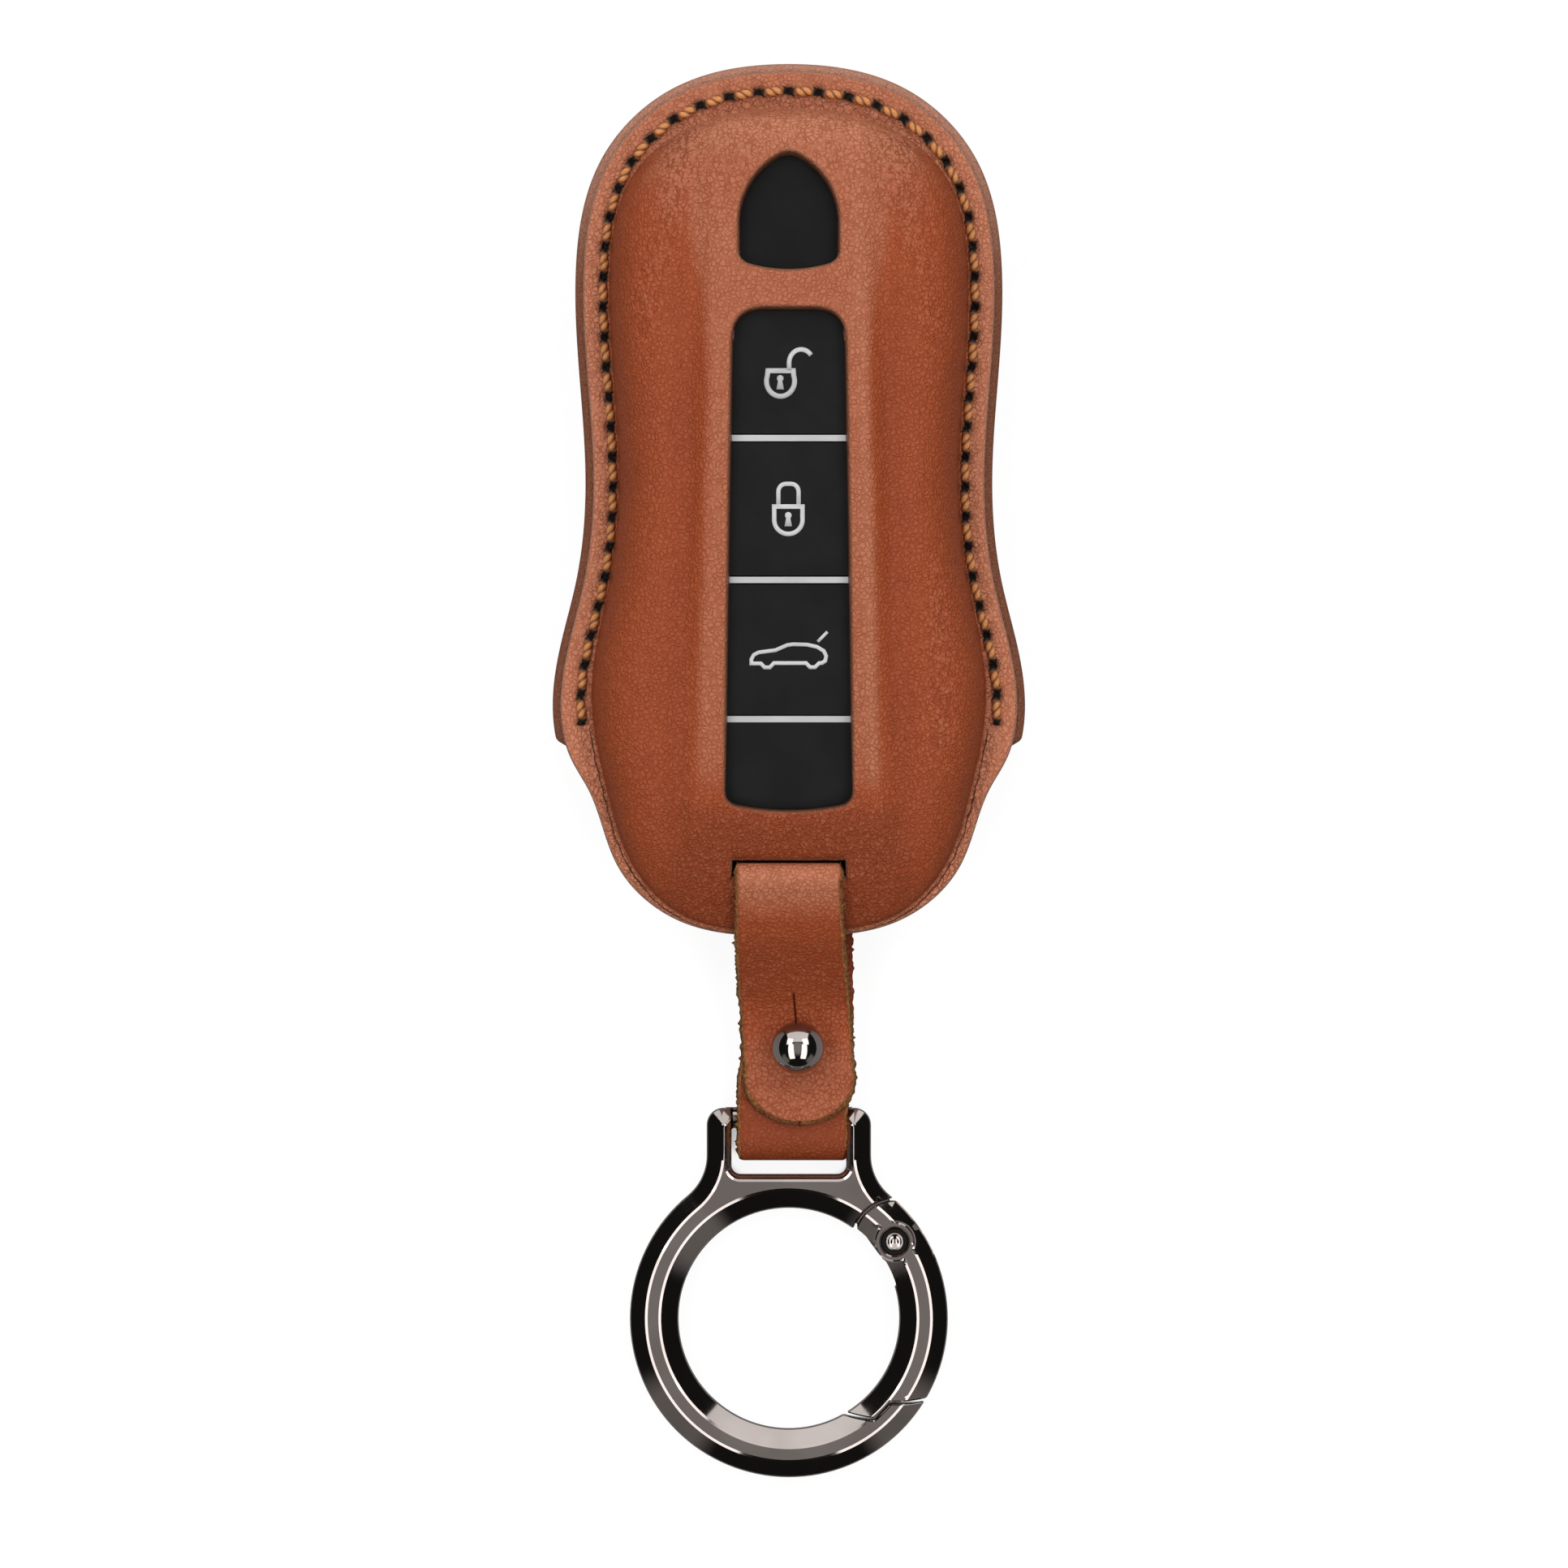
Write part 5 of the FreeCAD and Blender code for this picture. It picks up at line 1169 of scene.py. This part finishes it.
SLIT_END_Y, SLIT_FADE, SLIT_DEPTH = -55.4, 0.8, 0.6
# Painted light along the strap, from pale where it lies flat to painted shade where it slopes down; the loop behind
# is in painted shade.
TONE_Y = [-70.0, -63.0, -59.0, -55.0, -51.0, -47.0, -42.5]
STRAP_LIGHT_TONES, LOOP_SHADE_TONE = [0.6, 0.5, -0.1, -0.75, -0.75, 0.3, 1.4], -1.0
STRAP_WRINKLE, BEND_WRINKLE, BEND_WRINKLE_Y = 0.35, 0.5, (-47.0, -53.0)
TAB_SHADE, TAB_SHADE_START = 0.5, 0.4


def strap_piece():
    """Section carried along the route: grain side on the left of the route, flesh side on the right."""
    route_y = strap_route[:, 0]
    length = run_length(strap_route)
    front = ramp(length, *FRONT_LENGTH)
    tip = np.clip(length / TIP_LENGTH, 0, 1)
    half = STRAP_WIDTH / 2 * np.sqrt(1 - (1 - tip) ** 2) * (1 - SLOT_PINCH * front * ramp(route_y, *PINCH_Y))
    drift = TAB_DRIFT * front * ramp(route_y, *TAB_DRIFT_Y)
    loop_drift = LOOP_DRIFT + BACK_DRIFT * ramp(route_y, *BACK_DRIFT_Y)
    drift += (1 - front) * ramp(route_y, *LOOP_DRIFT_Y) * loop_drift

    share = np.concatenate([-HALF_SHARES[::-1], [0], HALF_SHARES])
    count = len(share)
    lift = 1 - EDGE_THIN * np.clip(1 - (1 - np.abs(share)) / EDGE_SHARE, 0, 1) ** 2
    across = np.concatenate([share, share[::-1]])
    side = np.concatenate([lift, -lift[::-1]]) * STRAP_THICK / 2
    flesh = np.repeat([0.0, 1.0], count)
    slit = front * ramp(route_y, SLIT_END_Y, SLIT_END_Y - SLIT_FADE) * (route_y > STUD_Y)
    slit = slit[:, None] * ((across == 0) & (flesh == 0))

    rough = np.random.default_rng(7).normal(0, 1, (len(strap_route), len(across)))
    fuzz = np.where(flesh > 0, FLESH_FUZZ * np.abs(rough), GRAIN_FUZZ * rough)
    x = drift[:, None] + across * (half[:, None] - CUT_LEAN + 2 * CUT_LEAN * flesh)
    x = x + np.where(np.abs(across) == 1, np.sign(across), 0) * fuzz
    run = unit(np.gradient(strap_route, axis=0))
    left = np.stack([-run[:, 1], run[:, 0]], 1)
    yz = strap_route[:, None] + left[:, None] * (side - SLIT_DEPTH * slit)[..., None]
    yz[..., 0] -= flesh * (1 - tip[:, None]) * (2 * CUT_LEAN + TIP_FUZZ * np.abs(rough))
    points = np.concatenate([x[..., None], yz], -1)

    y = np.broadcast_to(route_y[:, None], x.shape)
    is_front = front[:, None] > 0.5
    # Painted shadow of the tab's tip on the loop below it.
    tip_round = 1 - np.sqrt(np.clip(1 - ((x - STUD_X) / STRAP_WIDTH * 2) ** 2, 0, 1))
    tab_end = STRAP_ROUTE[0, 0] + TIP_LENGTH * tip_round
    under_tab = bell(np.maximum(tab_end - y, 0), TAB_SHADE) * (y < tab_end + TAB_SHADE_START)
    attributes = {
        "slit": slit,
        "painted_light": np.where(is_front, np.interp(y, TONE_Y, STRAP_LIGHT_TONES), LOOP_SHADE_TONE),
        "wrinkle": STRAP_WRINKLE + is_front * BEND_WRINKLE * ramp(y, *BEND_WRINKLE_Y),
        "shade": np.where(is_front, 0.0, under_tab),
    }
    index = numbered(points)
    caps = [np.stack([index[row, :count - 1], index[row, 1:count], index[row, -2:-count - 1:-1],
                      index[row, :-count:-1]], -1)[:, ::step] for row, step in ((0, -1), (-1, 1))]
    faces = np.concatenate([grid_faces(index), *caps])
    cut = np.zeros(2 * count, int)
    cut[[count - 1, -1]] = 1
    cut = np.concatenate([np.tile(cut, len(strap_route) - 1), np.ones(2 * (count - 1), int)])
    add_piece("strap", points.reshape(-1, 3), faces, strap_finishes, COVER,
              ["keeper_strap"], {key: values.ravel() for key, values in attributes.items()}, cut)


strap_piece()

# %% [markdown]
# ## Polished metal
# The ring, its gate, the pin and the stud are plated in black nickel. Their shapes are the CAD's, but
# a cast and polished edge is never sharp: a merged copy of the ring's, the gate's and the screw's
# node gets a narrow facet on its edges, and that facet is what catches the strips of light. The pin
# and the stud are turned from profiles.

# %% Black nickel finish
NICKEL, RECESS_BLACK = (0.40, 0.355, 0.335), (0.02, 0.018, 0.017)
POLISH, SUNK_ROUGHNESS = 0.04, 0.3
PIN_PLACE, RING_MIDDLE = (11.974, -84.201), 2.8
SUNK_RADIUS, SUNK_DEPTH = (1.64, 1.58), (2.72, 2.6)


def clouded(wire, colour, scale, share):
    """Colour that drifts by a share to both sides in large clouds."""
    dark, light = (tuple(part * (1 + change) for part in colour) for change in (-share, share))
    return wire.spot().noise(scale, 2.0, 0.5).ease(0.3, 0.7).mix(dark, light)


def polish_marks(wire):
    """Faint polishing marks in the gloss."""
    return wire.spot().noise(0.6, 4.0) * 0.06


def nickel_finish(name, colour, roughness, metal=1.0):
    """Plated metal. Silver paint is less of a metal."""
    finish, shader, wire = new_finish(name, {"Metallic": metal})
    connect(shader, {"Roughness": roughness + polish_marks(wire), "Base Color": clouded(wire, colour, 0.15, 0.08)})
    return finish


def gate_finish():
    """The gate's nickel: the same plating, black in the sunk ring round its rivet."""
    finish, shader, wire = new_finish("gate_metal", {"Metallic": 1.0})
    x, y, z = wire.spot().split()
    radius = (x - PIN_PLACE[0]).hypotenuse(y - PIN_PLACE[1])
    sunk = radius.ease(*SUNK_RADIUS) * abs(z - RING_MIDDLE).ease(*SUNK_DEPTH)
    connect(shader, {"Base Color": sunk.mix(NICKEL, RECESS_BLACK),
                     "Roughness": POLISH + polish_marks(wire) + sunk * SUNK_ROUGHNESS})
    return finish


gunmetal = nickel_finish("gunmetal", NICKEL, POLISH)
gate_metal = gate_finish()
print("finishes:", gunmetal.name, gate_metal.name)

# %% Ring, gate and screw
SHARP_ANGLE, FACET_ANGLE = math.radians(20.0), math.radians(10.0)
CAD_JOIN_GAP = 1e-6
RING_FACET, SCREW_FACET = 0.16, 0.08


def merged(node):
    """Editable copy of a CAD node, its loose triangles joined."""
    form = bmesh.new()
    form.from_mesh(nodes[node].data)
    bmesh.ops.remove_doubles(form, verts=form.verts, dist=CAD_JOIN_GAP)
    return form


def add_copy(form, node, name, body, finish):
    """Piece from a reworked copy of a CAD node, which it stands for. Edges stay sharp in the shading,
    so that flats and facets are true mirrors."""
    mesh = bpy.data.meshes.new(name)
    form.to_mesh(mesh)
    form.free()
    mesh.materials.append(finish)
    piece = settle(mesh, name, body, [node])
    mesh.set_sharp_from_angle(angle=FACET_ANGLE)
    return piece


def faceted_copy(node, name, body, finish, size):
    """Merged copy of a CAD node whose sharp edges get a polished facet, a size wide on each side."""
    form = merged(node)
    sharp = [line for line in form.edges if line.is_manifold and line.calc_face_angle() > SHARP_ANGLE]
    bmesh.ops.bevel(form, geom=sharp, offset=size * MM, segments=1, affect="EDGES", clamp_overlap=False)
    add_copy(form, node, name, body, finish)


faceted_copy("ring_frame", "ring_body", "ring", gunmetal, RING_FACET)
faceted_copy("ring_gate", "ring_gate_arm", "gate", gate_metal, RING_FACET)
faceted_copy("stud_screw", "stud_back_screw", COVER, gunmetal, SCREW_FACET)

# %% Stud and rivet
BALL_RADIUS, NECK_RADIUS, BALL_STEPS = 3.0, 1.6, 40
STUD_SIDES, RIVET_SIDES = 64, 40
# Profiles of radius and height, the rivet's from the ring's middle
STUD_STEM = [(1.5, 3.95), (3.1, 3.95), (3.2, 4.05), (3.2, 4.55), (3.1, 4.65), (NECK_RADIUS, 4.65)]
RIVET_HEAD = np.array([(0.75, 2.4), (1.05, 2.4), (1.05, 2.52), (1.0, 2.62), (0.88, 2.68), (0.76, 2.62),
                       (0.62, 2.5), (0.5, 2.5), (0.42, 2.44), (0.0, 2.2)])


def lathe(name, profile, place, sides, body, replaced):
    """Profile of radius and height turned round an upright axis."""
    angle = np.linspace(0, 2 * np.pi, sides, endpoint=False)
    radius, height = profile[:, :1], profile[:, 1:]
    x, y = place[0] + radius * np.cos(angle), place[1] + radius * np.sin(angle)
    points = np.stack([x, y, height + 0 * angle], -1)
    faces = grid_faces(numbered(points))
    add_piece(name, points.reshape(-1, 3), faces, [gunmetal], body, replaced)


stud_low, stud_high = (corner[2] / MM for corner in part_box("stud_head"))
turn = np.linspace(math.asin(NECK_RADIUS / BALL_RADIUS), np.pi, BALL_STEPS)
ball = BALL_RADIUS * np.stack([np.sin(turn), -np.cos(turn)], 1) + (0, stud_high - BALL_RADIUS)
stud_profile = np.vstack([[(0.0, stud_low), (1.5, stud_low)], STUD_STEM, ball])
rivet_profile = np.vstack([RIVET_HEAD[::-1] * (1, -1), RIVET_HEAD]) + (0, RING_MIDDLE)
lathe("gate_rivet", rivet_profile, PIN_PLACE, RIVET_SIDES, "ring", ["gate_pin"])
lathe("stud_ball", stud_profile, (STUD_X, STUD_Y), STUD_SIDES, COVER, ["stud_head"])

# %% [markdown]
# ## Remote
# The remote shows through the windows: satin black keys between three bright bars, each key with a
# printed sign. The signs are thin plates that ride on their own keys.


# %% Remote finishes
def plastic_finish(name, colour, roughness, grain_scale, depth, gloss=0.3):
    """Moulded plastic with a fine spark-eroded texture."""
    finish, shader, wire = new_finish(name, {"Specular IOR Level": gloss})
    grain = wire.spot().noise(grain_scale)
    connect(shader, {"Base Color": clouded(wire, colour, 0.2, 0.15), "Roughness": roughness + grain * 0.1,
                     "Normal": grain.bump(depth, 0.5)})
    return finish


FINISHES = {
    plastic_finish("black_keys", (0.0085,) * 3, 0.36, 6.0, 0.006, 0.12):
        ["unlock_button", "lock_button", "boot_button", "strip_end_cap"],
    plastic_finish("black_case", (0.0065,) * 3, 0.4, 6.0, 0.008, 0.1): ["remote_upper_shell", "remote_lower_shell"],
    nickel_finish("bright_trim", (0.58, 0.58, 0.59), 0.3, 0.35): ["divider_bars"],
    nickel_finish("spring_steel", (0.60, 0.59, 0.57), 0.22): ["gate_spring"],
    nickel_finish("plated_steel", (0.70, 0.68, 0.63), 0.25): ["coin_cell", "battery_contact", "battery_clip"],
    plastic_finish("green_board", (0.02, 0.12, 0.05), 0.4, 1.5, 0.005): ["circuit_board", "dome_switches"],
}
for finish, names in FINISHES.items():
    for node_name in names:
        nodes[node_name].data.materials.clear()
        nodes[node_name].data.materials.append(finish)
print("CAD nodes dressed:", sum(len(names) for names in FINISHES.values()))

# %% [markdown]
# ### Keypad
# The rubber mat has a dome under each key that gives way when the key goes down. The mat is cut into
# three lengths between the domes.

# %% Keypad
KEYPAD_CUTS = [-60.0, -9.4, 6.2, 60.0]
rubber = plastic_finish("grey_rubber", (0.09, 0.09, 0.095), 0.7, 3.0, 0.02)


def keypad_length(name, joint, start, end):
    """The mat between two cuts, closed at its ends."""
    form = merged("keypad_mat")
    for y, side in ((start, -1), (end, 1)):
        cut = bmesh.ops.bisect_plane(form, geom=form.verts[:] + form.edges[:] + form.faces[:],
                                     plane_co=(0, y * MM, 0), plane_no=(0, side, 0), clear_outer=True)
        rim = [item for item in cut["geom_cut"] if isinstance(item, bmesh.types.BMEdge)]
        if rim:
            bmesh.ops.holes_fill(form, edges=rim)
    bmesh.ops.recalc_face_normals(form, faces=form.faces)
    piece = add_copy(form, "keypad_mat", name, COVER, rubber)
    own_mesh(piece)


for key, start, end in zip(("boot", "lock", "unlock"), KEYPAD_CUTS, KEYPAD_CUTS[1:]):
    keypad_length(key + "_dome_rubber", key + "_press", start, end)

# %% Shapes of the signs
SIGN_RISE, SIGN_ROOT = 0.035, -0.03
KEY_CROWN, KEY_ARCH = 18.05, 218.25
LEAST_MITRE = 0.8


def on_key(rows, lifts):
    """Rows of points on the keys, whose arch is the flat middle's set down by the leather and its slack."""
    return raised(rows, arch(rows[..., 1], KEY_CROWN, KEY_ARCH) + np.array(lifts)[:, None])


def stroke(points, width, closed=False):
    """Band of a width along a line: its two rails are moved along the mean normal of their corners."""
    line = np.asarray(points, float)
    ahead, behind = np.roll(line, -1, 0) - line, line - np.roll(line, 1, 0)
    if not closed:
        ahead[-1], behind[0] = behind[-1], ahead[0]
    mean = unit(ahead) + unit(behind)
    normal = np.stack([-mean[:, 1], mean[:, 0]], 1)
    normal /= np.maximum((normal ** 2).sum(1) / 2, LEAST_MITRE)[:, None]
    left, right = line + normal * width / 2, line - normal * width / 2
    solid = on_key(np.stack([left, left, right, right]), [SIGN_ROOT, SIGN_RISE, SIGN_RISE, SIGN_ROOT])
    index = np.arange(4 * len(line)).reshape(4, len(line))
    faces = [grid_faces(index[[0, 1, 2, 3, 0]], closed)]
    if not closed:
        faces.append(np.stack([index[:, 0], index[::-1, -1]]))
    return solid, np.concatenate(faces)[:, ::-1]


def plate(outline):
    """Filled shape: fans from its outline to its middle above and below, with a wall between them."""
    middle = outline * 0 + outline.mean(0)
    solid = on_key(np.stack([middle, outline, outline, middle]), [SIGN_ROOT, SIGN_ROOT, SIGN_RISE, SIGN_RISE])
    return solid, grid_faces(np.arange(4 * len(outline)).reshape(4, len(outline)))


def arc(x, y, radius_x, radius_y, first, last, steps=16):
    """Part of an ellipse between two angles in degrees."""
    angle = np.radians(np.linspace(first, last, steps))
    return np.stack([x + radius_x * np.cos(angle), y + radius_y * np.sin(angle)], 1)


def keyhole(x, y):
    """Round eye over a flared foot."""
    return plate(np.vstack([arc(x, y, 0.38, 0.38, -50, 230, 18), [(x - 0.42, y - 1.22), (x + 0.42, y - 1.22)]]))


print("signs lie", SIGN_RISE, "mm above the keys")

# %% Signs on the keys
sign_print = plastic_finish("sign_print", (0.52, 0.52, 0.52), 0.45, 4.0, 0.004)
unlock_body = np.vstack([[(-2.35, 14.08), (0.5, 14.08)], arc(-0.94, 12.9, 1.58, 1.7, 20, -200, 26)])
unlock_shackle = np.vstack([[(0.02, 14.1)], arc(1.38, 14.95, 1.36, 1.53, 180, 35)])
lock_body = np.vstack([[(-1.66, -1.2), (1.53, -1.2)], arc(-0.06, -2.7, 1.59, 1.58, 0, -180, 24)])
lock_shackle = np.vstack([[(-1.18, -1.2)], arc(-0.33, 0.5, 0.85, 0.85, 180, 90, 8),
                          arc(0.24, 0.5, 0.85, 0.85, 90, 0, 8), [(1.09, -1.2)]])
car_outline = [(-4.23, -18.84), (-4.23, -18.39), (-3.96, -17.88), (-3.41, -17.59), (-1.52, -17.35), (-0.18, -16.77),
               (0.49, -16.68), (2.04, -16.72), (3.16, -16.97), (3.93, -17.44), (4.20, -17.99), (4.09, -18.55),
               (3.71, -18.79), (3.42, -18.79), (2.93, -19.26), (2.38, -19.26), (1.93, -18.79), (-1.69, -18.79),
               (-2.14, -19.28), (-2.74, -19.28), (-3.14, -18.84)]
open_lid = [(3.24, -16.39), (4.33, -15.28)]
SIGNS = {
    "unlock": [stroke(unlock_body, 0.56, True), stroke(unlock_shackle, 0.52), keyhole(-0.98, 13.2)],
    "lock": [stroke(lock_body, 0.5, True), stroke(lock_shackle, 0.48), keyhole(-0.07, -2.2)],
    "boot": [stroke(car_outline, 0.42, True), stroke(open_lid, 0.34)],
}
for key, parts in SIGNS.items():
    starts = np.cumsum([0] + [len(points) for points, faces in parts])
    points = np.concatenate([points for points, faces in parts])
    faces = np.concatenate([part[1] + start for part, start in zip(parts, starts)])
    add_piece(key + "_sign", points, faces, [sign_print], key + "_button")
